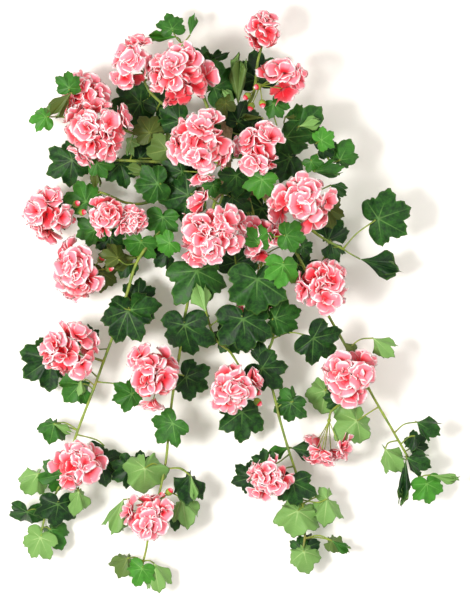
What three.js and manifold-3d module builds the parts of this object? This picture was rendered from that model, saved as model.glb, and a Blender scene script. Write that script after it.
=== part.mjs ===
// A trailing ivy geranium bush, cut off at its woody base and laid on its back on a flat surface.
// Millimetres, +Z up. The origin is on the surface, under the woody base. The trailing stems run
// towards -Y, +X is to the right of someone who looks down with the base at the far end.
import * as THREE from "three";
import { mergeVertices } from "three/addons/utils/BufferGeometryUtils.js";
import Module from "manifold-3d";

const wasm = await Module();
wasm.setup();

// Driving dimensions. The layout tables give plan places in steps of PLAN_STEP, counted to the
// right and downwards, and heights in millimetres over the surface.
const PLAN_STEP = 1.17;
const BASE_PLAN = { x: 226, y: 140 };
const GAP = 0.3;
const CLEARANCE = 0.4;
const FINEST_EDGE = 0.25;
const BASE_RADIUS = 7;
const STEM_RADIUS = 2.3;
const STEM_STEP = 34;
const AXIS_SAMPLES = 8;
const BRANCH_RADIUS = 2.6;
const PEDUNCLE_RADIUS = 1.7;
const HUB_RADIUS = 2.4;
const PETIOLE_RADIUS = 0.65;
const SHORT_STALK = 24;
const BLADE_THICKNESS = 1.3;
const HEAD_DEPTH = 0.42;
const TURNED_OVER = -0.4;
const HUB_SUNK = 0.2;
const STALK_BELOW = 0.45;
const BUD_LENGTH = 12;
const BUD_RADIUS = 4;

// A bloom's surface, as shares of its half sizes: the floret's throat, the valley between florets
// and the notch between petals, then how far petals and notches spread over their cell.
const THROAT = 0.8;
const VALLEY = 0.66;
const NOTCH_REACH = 0.86;
const PETAL_SPREAD = 0.93;
const NOTCH_SPREAD = 0.62;
const BARE_REACH = 0.86;
const BARE_BACK = -0.15;

// Blade outline, seen from above: angle from the middle lobe in degrees, reach as a share of the
// middle lobe, lift of the rim as a share of the same. Five lobes and the notch at the stalk.
const LARGE_OUTLINE = [
  [11, 0.97, -0.1],
  [29, 0.72, 0.03],
  [42, 0.92, -0.06],
  [60, 0.9, -0.08],
  [80, 0.64, 0.03],
  [113, 0.76, -0.05],
];
const SMALL_OUTLINE = [
  [13, 0.96, -0.08],
  [32, 0.68, 0.03],
  [58, 0.92, -0.08],
  [112, 0.74, -0.04],
];
const OUTLINE_NOTCH = [180, 0.18, 0];
const STALK_END = 0.08;
const LARGE_BLADE = 40;
const WIDTH_TO_REACH = 1 / 1.5;

// Leafy stems. root: the place on the woody base's branches where the stem begins. route: its
// further points. leaves: stalk place x, y, z, heading of the middle lobe in degrees (0 right,
// 90 up the plan), width in plan steps, dip of the tip and roll in degrees. resting: leaves that
// lie flat on the surface, x, y, heading, width.
const STEMS = {
  leafy_stem_a: {
    root: [190, 190, 50],
    route: [
      [160, 230, 52],
      [137, 262, 52],
      [128, 290, 48],
      [114, 333, 44],
      [104, 360, 42],
      [95, 385, 42],
      [76, 435, 40],
      [60, 484, 36],
      [46, 513, 34],
      [41, 532, 32],
    ],
    leaves: [
      [118, 258, 64, 120, 32, 20, 20],
      [128, 311, 62, 245, 54, 15, 0],
      [131, 310, 70, 12, 46, 10, 0, 42],
      [132, 394, 56, 195, 34, 10, 0],
      [50, 359, 34, 215, 52, 10, 0],
      [80, 384, 48, 228, 38, 5, 0, 48],
      [54, 424, 46, 252, 34, 5, 0, 52],
      [100, 462, 30, 330, 38, 15, 0],
      [58, 476, 46, 205, 30, 20, 0],
      [38, 474, 42, 235, 32, 5, 0, 42],
      [63, 503, 48, 260, 42, 15, 0],
      [80, 491, 38, 268, 32, 5, 0, 28],
      [27, 511, 34, 190, 30, 5, 0, 40],
      [52, 530, 36, 285, 22, 10, 0],
      [40, 535, 28, 245, 36, 20, 0],
    ],
  },
  leafy_stem_b: {
    root: [200, 195, 42],
    route: [
      [192, 240, 38],
      [188, 300, 44],
      [183, 325, 48],
      [180, 350, 46],
      [172, 400, 44],
      [168, 440, 42],
      [166, 460, 40],
      [160, 490, 36],
      [150, 525, 32],
      [146, 550, 30],
      [142, 566, 28],
    ],
    leaves: [
      [185, 325, 62, 280, 54, 20, 0],
      [186, 377, 40, 330, 42, 10, 0],
      [173, 423, 60, 228, 38, 15, 0],
      [145, 467, 50, 265, 40, 0, 0, 58],
      [122, 500, 34, 245, 34, 5, 0, 38],
      [181, 498, 34, 285, 36, 5, 0, 45],
      [190, 475, 52, 275, 32, 10, 35],
      [126, 559, 26, 228, 28, 0, 0, 25],
      [142, 567, 38, 250, 30, 15, 10],
      [154, 565, 22, 285, 34, 5, 0, 40],
    ],
  },
  leafy_stem_c: {
    root: [215, 200, 55],
    route: [
      [201, 260, 60],
      [205, 305, 58],
      [216, 340, 50],
      [230, 352, 46],
      [238, 364, 44],
    ],
    leaves: [
      [197, 271, 94, 282, 64, 22, 0],
      [206, 312, 76, 108, 44, 0, 0, 18],
      [243, 319, 72, 275, 55, 15, 0],
      [242, 412, 38, 270, 47, 12, 0],
    ],
    resting: [[234, 388, 200, 36]],
  },
  leafy_stem_d: {
    root: [250, 200, 45],
    route: [
      [262, 250, 34],
      [272, 300, 34],
      [273, 338, 46],
      [263, 365, 50],
      [272, 388, 50],
      [280, 420, 48],
      [288, 448, 46],
      [298, 480, 42],
      [303, 510, 38],
      [305, 537, 34],
      [302, 556, 32],
    ],
    leaves: [
      [275, 318, 64, 20, 44, 10, 0],
      [262, 368, 62, 312, 42, 15, 0],
      [313, 338, 68, 320, 46, 15, 0],
      [291, 403, 54, 265, 32, 20, 0],
      [268, 463, 32, 110, 22, 10, 0],
      [292, 448, 38, 352, 46, 0, 0, 22],
      [252, 478, 30, 195, 34, 20, 0],
      [297, 483, 56, 285, 42, 15, 0],
      [326, 499, 40, 262, 42, 0, 0, 48],
      [294, 513, 48, 262, 44, 5, 0, 62],
      [332, 541, 34, 325, 34, 0, 0, 22],
      [304, 556, 38, 290, 34, 15, 10],
    ],
  },
  leafy_stem_e: {
    root: [260, 190, 52],
    route: [
      [295, 250, 48],
      [326, 311, 46],
      [343, 341, 48],
      [358, 368, 46],
      [374, 398, 44],
      [392, 429, 42],
      [404, 450, 38],
      [414, 467, 36],
      [422, 482, 34],
    ],
    leaves: [
      [325, 393, 36, 248, 38, 5, 0, 62],
      [373, 338, 60, 283, 38, 0, 0, 56],
      [417, 424, 52, 335, 36, 15, 40],
      [385, 449, 54, 262, 44, 5, 0, 48],
      [407, 458, 46, 265, 44, 10, 60],
      [430, 474, 44, 350, 46, 0, 0, 18],
      [424, 483, 38, 280, 34, 20, 0],
      [354, 424, 50, 222, 46, 10, 0, 70],
    ],
  },
  leafy_stem_f: {
    root: [280, 200, 60],
    route: [
      [318, 235, 58],
      [343, 249, 56],
    ],
    leaves: [
      [331, 185, 52, 326, 30, 0, 0, 35],
      [378, 219, 72, 20, 56, 12, 0],
      [367, 262, 50, 342, 56, 0, 10, 24],
      [328, 240, 42, 66, 44, 5, 0, 38],
      [326, 208, 72, 285, 34, 15, 0],
    ],
    resting: [[324, 266, 290, 36]],
  },
  leafy_stem_g: {
    root: [262, 138, 60],
    route: [
      [280, 134, 62],
      [297, 132, 64],
      [320, 145, 62],
      [330, 162, 58],
    ],
    leaves: [
      [274, 104, 68, 300, 26, 20, 30],
      [297, 131, 80, 40, 50, 0, 0, 52],
      [286, 138, 74, 325, 44, 20, 0],
      [321, 140, 88, 30, 20, 20, 0],
      [340, 160, 64, 62, 34, 5, 0, 58],
      [314, 172, 78, 10, 44, 0, 0, 32],
    ],
  },
  leafy_stem_h: {
    root: [242, 110, 55],
    route: [
      [252, 98, 54],
      [258, 60, 46],
      [262, 46, 44],
    ],
    leaves: [
      [238, 105, 64, 88, 78, 0, 0, 14],
      [258, 78, 34, 95, 44, 10, 0],
    ],
  },
  leafy_stem_i: {
    root: [208, 110, 50],
    route: [
      [190, 62, 48],
      [181, 43, 48],
    ],
    leaves: [
      [176, 29, 54, 120, 30, 38, 0],
      [190, 34, 50, 76, 32, 0, 0, 23],
      [176, 37, 46, 182, 42, 0, 0, 15],
      [210, 60, 52, 15, 30, 10, 45],
      [214, 88, 62, 35, 48, 15, 0],
    ],
    resting: [[200, 78, 100, 46]],
  },
  leafy_stem_j: {
    root: [185, 122, 52],
    route: [
      [150, 92, 46],
      [142, 76, 46],
    ],
    leaves: [
      [140, 102, 30, 190, 48, 8, 0],
    ],
  },
  leafy_stem_k: {
    root: [180, 148, 54],
    route: [
      [130, 132, 36],
      [85, 118, 28],
      [55, 116, 30],
    ],
    leaves: [
      [72, 91, 92, 100, 34, 5, 0],
      [72, 94, 93, 226, 50, 5, 0, 20],
      [47, 117, 56, 190, 30, 15, 0],
      [152, 134, 62, 110, 40, 20, 20],
    ],
  },
  leafy_stem_l: {
    root: [178, 163, 46],
    route: [
      [120, 160, 38],
      [72, 158, 34],
    ],
    leaves: [
      [72, 160, 42, 212, 44, 20, 0],
      [97, 163, 56, 350, 28, 10, 0],
      [120, 163, 28, 280, 38, 10, 0],
      [165, 148, 76, 215, 44, 25, -20],
    ],
  },
  leafy_stem_m: {
    root: [184, 180, 58],
    route: [
      [145, 203, 52],
      [127, 203, 50],
      [95, 192, 46],
      [78, 206, 44],
    ],
    leaves: [
      [150, 173, 66, 165, 36, 0, 0, 22],
      [158, 184, 74, 186, 42, 20, 0],
      [86, 202, 52, 115, 36, 15, 0],
      [95, 230, 48, 198, 34, 20, 0],
      [110, 236, 34, 270, 32, 10, 0],
    ],
    resting: [[58, 214, 185, 34]],
  },
  leafy_stem_n: {
    root: [190, 203, 44],
    route: [
      [160, 235, 38],
      [125, 262, 36],
      [104, 268, 38],
    ],
    leaves: [
      [170, 243, 68, 210, 28, 20, 0],
      [163, 217, 60, 265, 34, 20, 0],
      [141, 242, 58, 250, 38, 45, 0],
      [102, 273, 38, 268, 34, 25, 0],
    ],
  },
  leafy_stem_o: {
    root: [232, 170, 64],
    route: [
      [224, 192, 72],
      [216, 214, 78],
    ],
    leaves: [
      [182, 172, 66, 200, 34, 10, 0],
      [188, 195, 64, 200, 50, 15, 0],
      [236, 176, 88, 275, 38, 20, 0],
      [232, 198, 68, 330, 34, 10, 0],
    ],
  },
  leafy_stem_p: {
    root: [240, 197, 56],
    route: [
      [252, 222, 48],
      [262, 262, 50],
    ],
    leaves: [
      [262, 179, 76, 258, 32, 10, 0],
      [258, 243, 108, 75, 30, 10, 20],
      [286, 236, 114, 352, 32, 15, 0],
      [283, 265, 100, 262, 38, 15, 0],
      [303, 247, 54, 330, 18, 10, 0],
      [257, 279, 92, 270, 62, 15, 0],
    ],
  },
};

// The woody base lies under the foliage. Its branches reach the roots of the leafy stems.
const BASE_ROUTE = [
  [227, 122, 50],
  [226, 150, 52],
  [226, 186, 50],
];
const BASE_LEAVES = [
  [180, 121, 62, 200, 40, 10, 0],
  [238, 122, 66, 70, 36, 10, 0],
];
const BASE_RESTING = [[220, 143, 30, 50]];

// Blooms: stem that carries it, centre x, y, z, half width and half height in plan steps, tilt of
// the face to the right and up the plan, and the buds at its hub as x, y, z.
const BLOOMS = [
  ["leafy_stem_j", 134, 62, 74, 24, 29, -0.6, 0.5, []],
  ["leafy_stem_i", 180, 80, 98, 35, 35, -0.1, 0.3, []],
  ["leafy_stem_k", 84, 97, 54, 30, 25, -0.3, 0.4, []],
  ["leafy_stem_k", 95, 131, 88, 37, 31, -0.3, -0.1, []],
  ["leafy_stem_o", 201, 147, 126, 35, 37, -0.1, 0.2, []],
  ["leafy_stem_h", 263, 33, 62, 19, 24, 0.1, 0.8, []],
  [
    "leafy_stem_h", 278, 80, 82, 27, 29, 0.7, 0.2,
    [[254, 88, 66], [243, 100, 70], [249, 112, 74], [263, 109, 76]],
  ],
  ["leafy_stem_g", 259, 150, 108, 22, 29, -0.4, 0, []],
  ["leafy_stem_f", 301, 203, 112, 36, 30, 0.2, 0, []],
  ["leafy_stem_o", 210, 230, 130, 35, 37, 0, -0.2, []],
  ["leafy_stem_p", 262, 239, 82, 22, 27, 0, 0, []],
  [
    "leafy_stem_m", 50, 213, 58, 24, 28, -0.9, 0,
    [[80, 202, 60], [87, 212, 56], [76, 222, 52]],
  ],
  ["leafy_stem_m", 108, 215, 84, 20, 20, 0, 0, []],
  ["leafy_stem_m", 134, 224, 78, 15, 13, 0.3, 0, []],
  ["leafy_stem_n", 77, 271, 60, 22, 34, -0.8, 0, [[104, 256, 52], [114, 268, 54]]],
  ["leafy_stem_a", 68, 350, 62, 33, 28, -0.3, 0.1, []],
  ["leafy_stem_b", 154, 376, 74, 26, 33, -0.2, 0.1, []],
  ["leafy_stem_c", 234, 386, 74, 27, 26, -0.3, 0, [[262, 394, 56], [262, 406, 54]]],
  ["leafy_stem_e", 322, 284, 80, 29, 27, 0.1, 0.1, []],
  ["leafy_stem_e", 349, 376, 70, 27, 28, -0.1, 0, [[362, 355, 56]]],
  ["leafy_stem_a", 77, 465, 58, 28, 23, 0.1, 0.2, [[79, 444, 54]]],
  ["leafy_stem_b", 150, 517, 58, 26, 24, 0, -0.2, [[164, 492, 52], [173, 488, 50]]],
  ["leafy_stem_d", 271, 477, 58, 24, 23, -0.2, 0.1, []],
  ["leafy_stem_e", 324, 445, 44, 28, 21, -0.3, -1.6, []],
  ["leafy_stem_p", 256, 304, 50, 24, 13, 0, -0.5, []],
];

// A plan place and a height as a point of the part's frame.
function place([x, y, z]) {
  return new THREE.Vector3((x - BASE_PLAN.x) * PLAN_STEP, (BASE_PLAN.y - y) * PLAN_STEP, z);
}

// Repeatable random numbers from 0 to 1.
function randomSource(seed) {
  let state = seed;
  return () => {
    state = (state * 1664525 + 1013904223) % 4294967296;
    return state / 4294967296;
  };
}

// A closed three.js geometry as a solid, with its faces turned outwards.
function solid(geometry) {
  const bare = geometry.clone();
  bare.deleteAttribute("normal");
  bare.deleteAttribute("uv");
  const merged = mergeVertices(bare, 1e-4);
  const triVerts = new Uint32Array(merged.index.array);
  const vertProperties = new Float32Array(merged.attributes.position.array);
  const made = new wasm.Manifold(new wasm.Mesh({ numProp: 3, vertProperties, triVerts }));
  if (made.volume() > 0) return made;
  for (let i = 0; i < triVerts.length; i += 3) {
    const kept = triVerts[i];
    triVerts[i] = triVerts[i + 1];
    triVerts[i + 1] = kept;
  }
  return new wasm.Manifold(new wasm.Mesh({ numProp: 3, vertProperties, triVerts }));
}

// Indexed triangles as a geometry.
function geometryOf(points, faces) {
  const geometry = new THREE.BufferGeometry();
  geometry.setFromPoints(points);
  geometry.setIndex(faces.flat());
  return geometry;
}

// A tube with flat ends and a many-sided section along a smooth line through the points.
function tube(points, radius, sides, steps) {
  const section = new THREE.Shape();
  for (let i = 0; i < sides; i += 1) {
    const turn = (i / sides) * 2 * Math.PI;
    const x = radius * Math.cos(turn);
    const y = radius * Math.sin(turn);
    if (i === 0) section.moveTo(x, y);
    else section.lineTo(x, y);
  }
  section.closePath();
  const extrudePath = new THREE.CatmullRomCurve3(points, false, "centripetal");
  return solid(new THREE.ExtrudeGeometry(section, { steps, bevelEnabled: false, extrudePath }));
}

// The directions of a blade: along its middle lobe, to its left and out of its upper face.
function bladeFrame(heading, dip, roll) {
  const h = THREE.MathUtils.degToRad(heading);
  const along = new THREE.Vector3(Math.cos(h), Math.sin(h), 0);
  const left = new THREE.Vector3(-Math.sin(h), Math.cos(h), 0);
  const up = new THREE.Vector3(0, 0, 1);
  const tip = left.clone();
  along.applyAxisAngle(tip, THREE.MathUtils.degToRad(dip));
  up.applyAxisAngle(tip, THREE.MathUtils.degToRad(dip));
  const spin = THREE.MathUtils.degToRad(roll);
  left.applyAxisAngle(along, spin);
  up.applyAxisAngle(along, spin);
  return { along, left, up };
}

// The length of a blade's middle lobe.
function reachOf(width) {
  return width * PLAN_STEP * WIDTH_TO_REACH;
}

// A lobed blade of even thickness: a fan of triangles round the stalk's place on both faces.
// fold narrows a half-shut leaf, and extra makes it larger all round, for the room that it needs.
function blade({ centre, frame, width, wave, fold }, extra) {
  const reach = reachOf(width);
  const half = width < LARGE_BLADE ? SMALL_OUTLINE : LARGE_OUTLINE;
  const mirrored = half.map(([angle, share, lift]) => [-angle, share, lift]).reverse();
  const outline = [...half, OUTLINE_NOTCH, ...mirrored];
  const at = (angle, share, lift, side) => {
    const turn = THREE.MathUtils.degToRad(angle);
    const grown = share > 0 ? extra : 0;
    return centre
      .clone()
      .addScaledVector(frame.along, (reach * share + grown) * Math.cos(turn))
      .addScaledVector(frame.left, (reach * share * fold + grown) * Math.sin(turn))
      .addScaledVector(frame.up, reach * lift * wave + side);
  };
  const thick = BLADE_THICKNESS / 2 + extra;
  const count = outline.length;
  const points = [at(0, 0, 0, thick), at(0, 0, 0, -thick)];
  for (const [angle, share, lift] of outline) {
    points.push(at(angle, share, lift, thick), at(angle, share, lift, -thick));
  }
  const faces = [];
  for (let i = 0; i < count; i += 1) {
    const a = 2 + 2 * i;
    const b = 2 + 2 * ((i + 1) % count);
    faces.push([0, a, b], [1, b + 1, a + 1], [a, a + 1, b], [b, a + 1, b + 1]);
  }
  return solid(geometryOf(points, faces));
}

// Places along the straight stretches between the points of a tube's axis.
function sampled(stations) {
  const line = [];
  for (let i = 1; i < stations.length; i += 1) {
    for (let k = 0; k < AXIS_SAMPLES; k += 1) {
      line.push(stations[i - 1].clone().lerp(stations[i], (k + 0.5) / AXIS_SAMPLES));
    }
  }
  return line;
}

// The point of a sampled line that lies nearest to a place.
function nearest(line, target) {
  return line.reduce((best, p) => (p.distanceTo(target) < best.distanceTo(target) ? p : best));
}

// A leaf stalk from the stem's middle to the blade, bent as it comes up behind the blade.
function petiolePoints(line, leaf) {
  const { centre, frame, width } = leaf;
  const foot = nearest(line, centre);
  const end = centre.clone().addScaledVector(frame.along, -STALK_END * reachOf(width));
  const length = foot.distanceTo(end);
  const bend = foot
    .clone()
    .lerp(end, 0.6)
    .addScaledVector(frame.along, -0.15 * length)
    .addScaledVector(frame.up, -0.1 * length);
  return length > 3 ? [foot, bend, end] : null;
}

// The five-sided cells of a head: a floret's middle direction and its five corners in order.
function headCells() {
  const golden = (1 + Math.sqrt(5)) / 2;
  const middles = [];
  for (const one of [-1, 1]) {
    for (const other of [-golden, golden]) {
      middles.push(new THREE.Vector3(0, one, other).normalize());
      middles.push(new THREE.Vector3(one, other, 0).normalize());
      middles.push(new THREE.Vector3(other, 0, one).normalize());
    }
  }
  const touching = Math.cos(THREE.MathUtils.degToRad(70));
  const near = (a, b) => a !== b && a.dot(b) > touching;
  const cells = middles.map((middle) => {
    const ring = middles.filter((other) => near(middle, other));
    const ordered = [ring[0]];
    while (ordered.length < ring.length) {
      const last = ordered[ordered.length - 1];
      const turnsLeft = (other) => last.clone().cross(other).dot(middle) > 0;
      ordered.push(ring.find((other) => near(last, other) && turnsLeft(other)));
    }
    const corners = ordered.map((a, i) => {
      const b = ordered[(i + 1) % ordered.length];
      return middle.clone().add(a).add(b).normalize();
    });
    return { middle, corners };
  });
  return cells;
}

// A head of florets as one closed surface. In each cell a floret's throat is sunk, its five petals
// rise to their tips and turn down again to the valley round the cell. Cells at the back are bare.
function headSurface(centre, half, facing, random) {
  const spin = new THREE.Quaternion().setFromUnitVectors(new THREE.Vector3(0, 0, 1), facing);
  const turn = new THREE.Quaternion().setFromEuler(
    new THREE.Euler(random() * 6, random() * 6, random() * 6),
  );
  const at = (direction, share) => direction.clone().multiply(half).multiplyScalar(share).add(centre);
  const points = [];
  const faces = [];
  for (const { middle, corners } of CELLS) {
    const whole = [middle, ...corners].map((d) => d.clone().applyQuaternion(turn));
    const [core, ...rim] = whole.map((d) => d.applyQuaternion(spin));
    const first = points.length;
    const isBare = core.dot(facing) < BARE_BACK;
    points.push(at(core, isBare ? BARE_REACH : THROAT));
    rim.forEach((corner, i) => {
      const next = rim[(i + 1) % rim.length];
      points.push(at(corner, VALLEY));
      if (isBare) return;
      const tip = core.clone().lerp(corner.clone().add(next).normalize(), PETAL_SPREAD);
      const notch = core.clone().lerp(corner, NOTCH_SPREAD);
      points.push(at(notch.normalize(), NOTCH_REACH));
      points.push(at(tip.normalize(), 1 - 0.08 * random()));
    });
    const step = isBare ? 1 : 3;
    for (let i = 0; i < rim.length; i += 1) {
      const a = first + 1 + step * i;
      const b = first + 1 + step * ((i + 1) % rim.length);
      if (isBare) {
        faces.push([first, a, b]);
        continue;
      }
      faces.push([first, a + 1, a + 2], [first, a + 2, b + 1]);
      faces.push([a, a + 2, a + 1], [a, b, a + 2], [b, b + 1, a + 2]);
    }
  }
  return solid(geometryOf(points, faces));
}

// A ball with the given half sizes.
function ellipsoid(centre, half, detail) {
  const geometry = new THREE.IcosahedronGeometry(1, detail);
  geometry.scale(half.x, half.y, half.z);
  geometry.translate(centre.x, centre.y, centre.z);
  return solid(geometry);
}

// The measures of one bloom: its place, half sizes, the way it faces and its hub behind it.
function bloomFrame([, x, y, z, halfWidth, halfHeight, tiltRight, tiltUp]) {
  const centre = place([x, y, z]);
  const half = new THREE.Vector3(halfWidth * PLAN_STEP, halfHeight * PLAN_STEP, 0);
  half.z = HEAD_DEPTH * (half.x + half.y);
  const facing = new THREE.Vector3(tiltRight, tiltUp, tiltUp < -1 ? TURNED_OVER : 1).normalize();
  const size = (half.x + half.y + half.z) / 3;
  const hub = centre.clone().addScaledVector(facing, -size);
  return { centre, half, facing, size, hub };
}

// A bud: a slim four-sided point whose stalk tapers back into the hub.
function bud(hub, tipPlace) {
  const tip = place(tipPlace);
  const direction = tip.clone().sub(hub).normalize();
  const spin = new THREE.Quaternion().setFromUnitVectors(new THREE.Vector3(0, 0, 1), direction);
  const points = [hub.clone().addScaledVector(direction, -1), tip.clone()];
  for (let i = 0; i < 4; i += 1) {
    const angle = (i / 4) * 2 * Math.PI;
    const side = new THREE.Vector3(Math.cos(angle), Math.sin(angle), 0).applyQuaternion(spin);
    const ring = tip.clone().addScaledVector(direction, -BUD_LENGTH / 2);
    points.push(ring.addScaledVector(side, BUD_RADIUS));
  }
  const faces = [];
  for (let i = 0; i < 4; i += 1) {
    const next = 2 + ((i + 1) % 4);
    faces.push([0, next, 2 + i], [1, 2 + i, next]);
  }
  return solid(geometryOf(points, faces));
}

// A head of florets with its hub and buds.
function bloom(row, index) {
  const { centre, half, facing, size, hub } = bloomFrame(row);
  let made = headSurface(centre, half, facing, randomSource(100 + index));
  const inside = centre.clone().addScaledVector(facing, -HUB_SUNK * size);
  made = made.add(tube([inside, hub], HUB_RADIUS, 4, 1));
  for (const tip of row[8]) made = made.add(bud(hub, tip));
  return made;
}

// The room that a bloom needs.
function bloomRoom(row) {
  const { centre, half, facing, size, hub } = bloomFrame(row);
  const grown = half.clone().multiplyScalar(1.2).addScalar(CLEARANCE);
  const inside = centre.clone().addScaledVector(facing, -HUB_SUNK * size);
  let room = ellipsoid(centre, grown, 0);
  room = room.add(tube([inside, hub], HUB_RADIUS + CLEARANCE, 4, 1));
  for (const tip of row[8]) {
    const direction = place(tip).sub(hub).normalize();
    const end = place(tip).addScaledVector(direction, CLEARANCE);
    room = room.add(tube([hub, end], BUD_RADIUS + CLEARANCE, 8, 1));
  }
  return room;
}

// The stalk of a bloom, from the stem to the hub, which it meets with a small gap.
function pedunclePoints(line, row) {
  const { facing, hub, size } = bloomFrame(row);
  const end = hub.clone().addScaledVector(facing, -GAP);
  const below = hub.clone().addScaledVector(facing, -STALK_BELOW * size);
  below.z = Math.max(below.z, 12);
  const foot = nearest(line, below);
  return [foot, foot.clone().lerp(below, 0.6), below.lerp(end, 0.35), end];
}

// Whether two solids' boxes meet.
function boxesMeet(a, b) {
  const one = a.boundingBox();
  const two = b.boundingBox();
  return [0, 1, 2].every((i) => one.min[i] <= two.max[i] && two.min[i] <= one.max[i]);
}

// A solid less the room of everything else that it would meet.
function cleared(shape, rooms, owner) {
  let kept = shape;
  for (const room of rooms) {
    if (room.owner !== owner && boxesMeet(kept, room.solid)) kept = kept.subtract(room.solid);
  }
  return kept;
}

// The largest connected body of a solid.
function largest(shape) {
  return shape.simplify(FINEST_EDGE).decompose().reduce((a, b) => (b.volume() > a.volume() ? b : a));
}

const CELLS = headCells();

const basePoints = BASE_ROUTE.map(place);

// The branch of the woody base that a stem grows from, and the direction in which it ends.
function branchPoints(root) {
  const end = place(root);
  const foot = nearest(basePoints, end);
  const middle = foot.clone().lerp(end, 0.5);
  middle.z += 3;
  const away = end.clone().sub(middle).normalize();
  return { foot, middle, end, away };
}

// All bodies by name. Stalks and stems come first, then blooms, and blades take what room is left.
const rooms = [];
const woods = {};
const stalks = {};
const lines = {};
woods.woody_base = tube(basePoints, BASE_RADIUS, 8, 3);
let baseRoom = tube(basePoints, BASE_RADIUS + CLEARANCE, 8, 3);
for (const { root } of Object.values(STEMS)) {
  const { foot, middle, end, away } = branchPoints(root);
  woods.woody_base = woods.woody_base.add(tube([foot, middle, end], BRANCH_RADIUS, 4, 2));
  const past = end.clone().addScaledVector(away, GAP);
  baseRoom = baseRoom.add(tube([foot, middle, past], BRANCH_RADIUS + CLEARANCE, 4, 2));
}
lines.woody_base = new THREE.LineCurve3(basePoints[0], basePoints[2]).getSpacedPoints(20);
rooms.push({ owner: "woody_base", solid: baseRoom });

for (const [name, stem] of Object.entries(STEMS)) {
  const { end, away } = branchPoints(stem.root);
  const points = [end.clone().addScaledVector(away, -1), ...stem.route.map(place)];
  const curve = new THREE.CatmullRomCurve3(points, false, "centripetal");
  const steps = Math.max(2, Math.round(curve.getLength() / STEM_STEP));
  lines[name] = sampled(curve.getSpacedPoints(steps));
  woods[name] = cleared(tube(points, STEM_RADIUS, 4, steps), rooms, name);
  rooms.push({ owner: name, solid: tube(points, STEM_RADIUS + CLEARANCE, 4, steps) });
}

for (const row of BLOOMS) {
  const points = pedunclePoints(lines[row[0]], row);
  const stalk = cleared(tube(points, PEDUNCLE_RADIUS, 3, 3), rooms, row[0]);
  woods[row[0]] = woods[row[0]].add(stalk);
  rooms.push({ owner: row[0], solid: tube(points, PEDUNCLE_RADIUS + CLEARANCE, 3, 3) });
}

// The leaves of every stem as one list, with the frame of each blade.
const leaves = [];
const named = [["woody_base", { leaves: BASE_LEAVES, resting: BASE_RESTING }]];
for (const [owner, stem] of [...named, ...Object.entries(STEMS)]) {
  for (const [x, y, z, heading, width, dip, roll, opening] of stem.leaves) {
    const frame = bladeFrame(heading, dip, roll);
    const fold = Math.sin(THREE.MathUtils.degToRad(opening ?? 90));
    leaves.push({ owner, centre: place([x, y, z]), frame, width, wave: 1, fold });
  }
  for (const [x, y, heading, width] of stem.resting ?? []) {
    const frame = bladeFrame(heading, 0, 0);
    const centre = place([x, y, BLADE_THICKNESS / 2]);
    leaves.push({ owner, centre, frame, width, wave: 0, fold: 1 });
  }
}

for (const leaf of leaves) {
  const points = petiolePoints(lines[leaf.owner], leaf);
  if (!points) continue;
  const steps = points[0].distanceTo(points[2]) < SHORT_STALK ? 1 : 2;
  const stalk = cleared(tube(points, PETIOLE_RADIUS, 3, steps), rooms, leaf.owner);
  stalks[leaf.owner] = stalks[leaf.owner] ? stalks[leaf.owner].add(stalk) : stalk;
  leaf.room = tube(points, PETIOLE_RADIUS + CLEARANCE, 3, steps);
}
for (const leaf of leaves) {
  if (leaf.room) rooms.push({ owner: leaf.owner, solid: leaf.room });
}

const bodies = {};
BLOOMS.forEach((row, index) => {
  const name = "bloom_" + String(index + 1).padStart(2, "0");
  bodies[name] = largest(cleared(bloom(row, index), rooms, name));
  rooms.push({ owner: name, solid: bloomRoom(row) });
});

for (const leaf of leaves) {
  const own = blade(leaf, 0);
  const shape = cleared(own, rooms, leaf.owner);
  woods[leaf.owner] = woods[leaf.owner].add(shape);
  const room = blade(leaf, CLEARANCE);
  rooms.push({ owner: leaf.owner, solid: room });
}
for (const [name, wood] of Object.entries(woods)) {
  bodies[name] = largest(stalks[name] ? wood.add(stalks[name]) : wood);
}

const woodMaterial = new THREE.MeshStandardMaterial({ color: 0x6f7a3a, roughness: 0.75, metalness: 0 });
const leafMaterial = new THREE.MeshStandardMaterial({ color: 0x2f6b34, roughness: 0.6, metalness: 0 });
const petalMaterial = new THREE.MeshStandardMaterial({ color: 0xf59aa2, roughness: 0.7, metalness: 0 });

// The material of a body, by what it is.
function materialOf(name) {
  if (name === "woody_base") return woodMaterial;
  return name.startsWith("bloom") ? petalMaterial : leafMaterial;
}

// A solid as a named mesh.
function meshOf(name, body) {
  const { vertProperties, triVerts } = body.getMesh();
  const geometry = new THREE.BufferGeometry();
  geometry.setAttribute("position", new THREE.BufferAttribute(vertProperties, 3));
  geometry.setIndex(new THREE.BufferAttribute(triVerts, 1));
  geometry.computeVertexNormals();
  const mesh = new THREE.Mesh(geometry, materialOf(name));
  mesh.name = name;
  return mesh;
}

const bush = new THREE.Group();
for (const [name, body] of Object.entries(bodies)) bush.add(meshOf(name, body));

export default bush;
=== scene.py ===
"""A trailing ivy geranium bush with double pink flower heads, lying on its back on a pale surface.

Lengths are millimetres until a mesh is written, which is in metres in the CAD frame: the origin is on
the surface under the woody base, the stems trail towards -Y and +Z is up.
"""

import math

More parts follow.
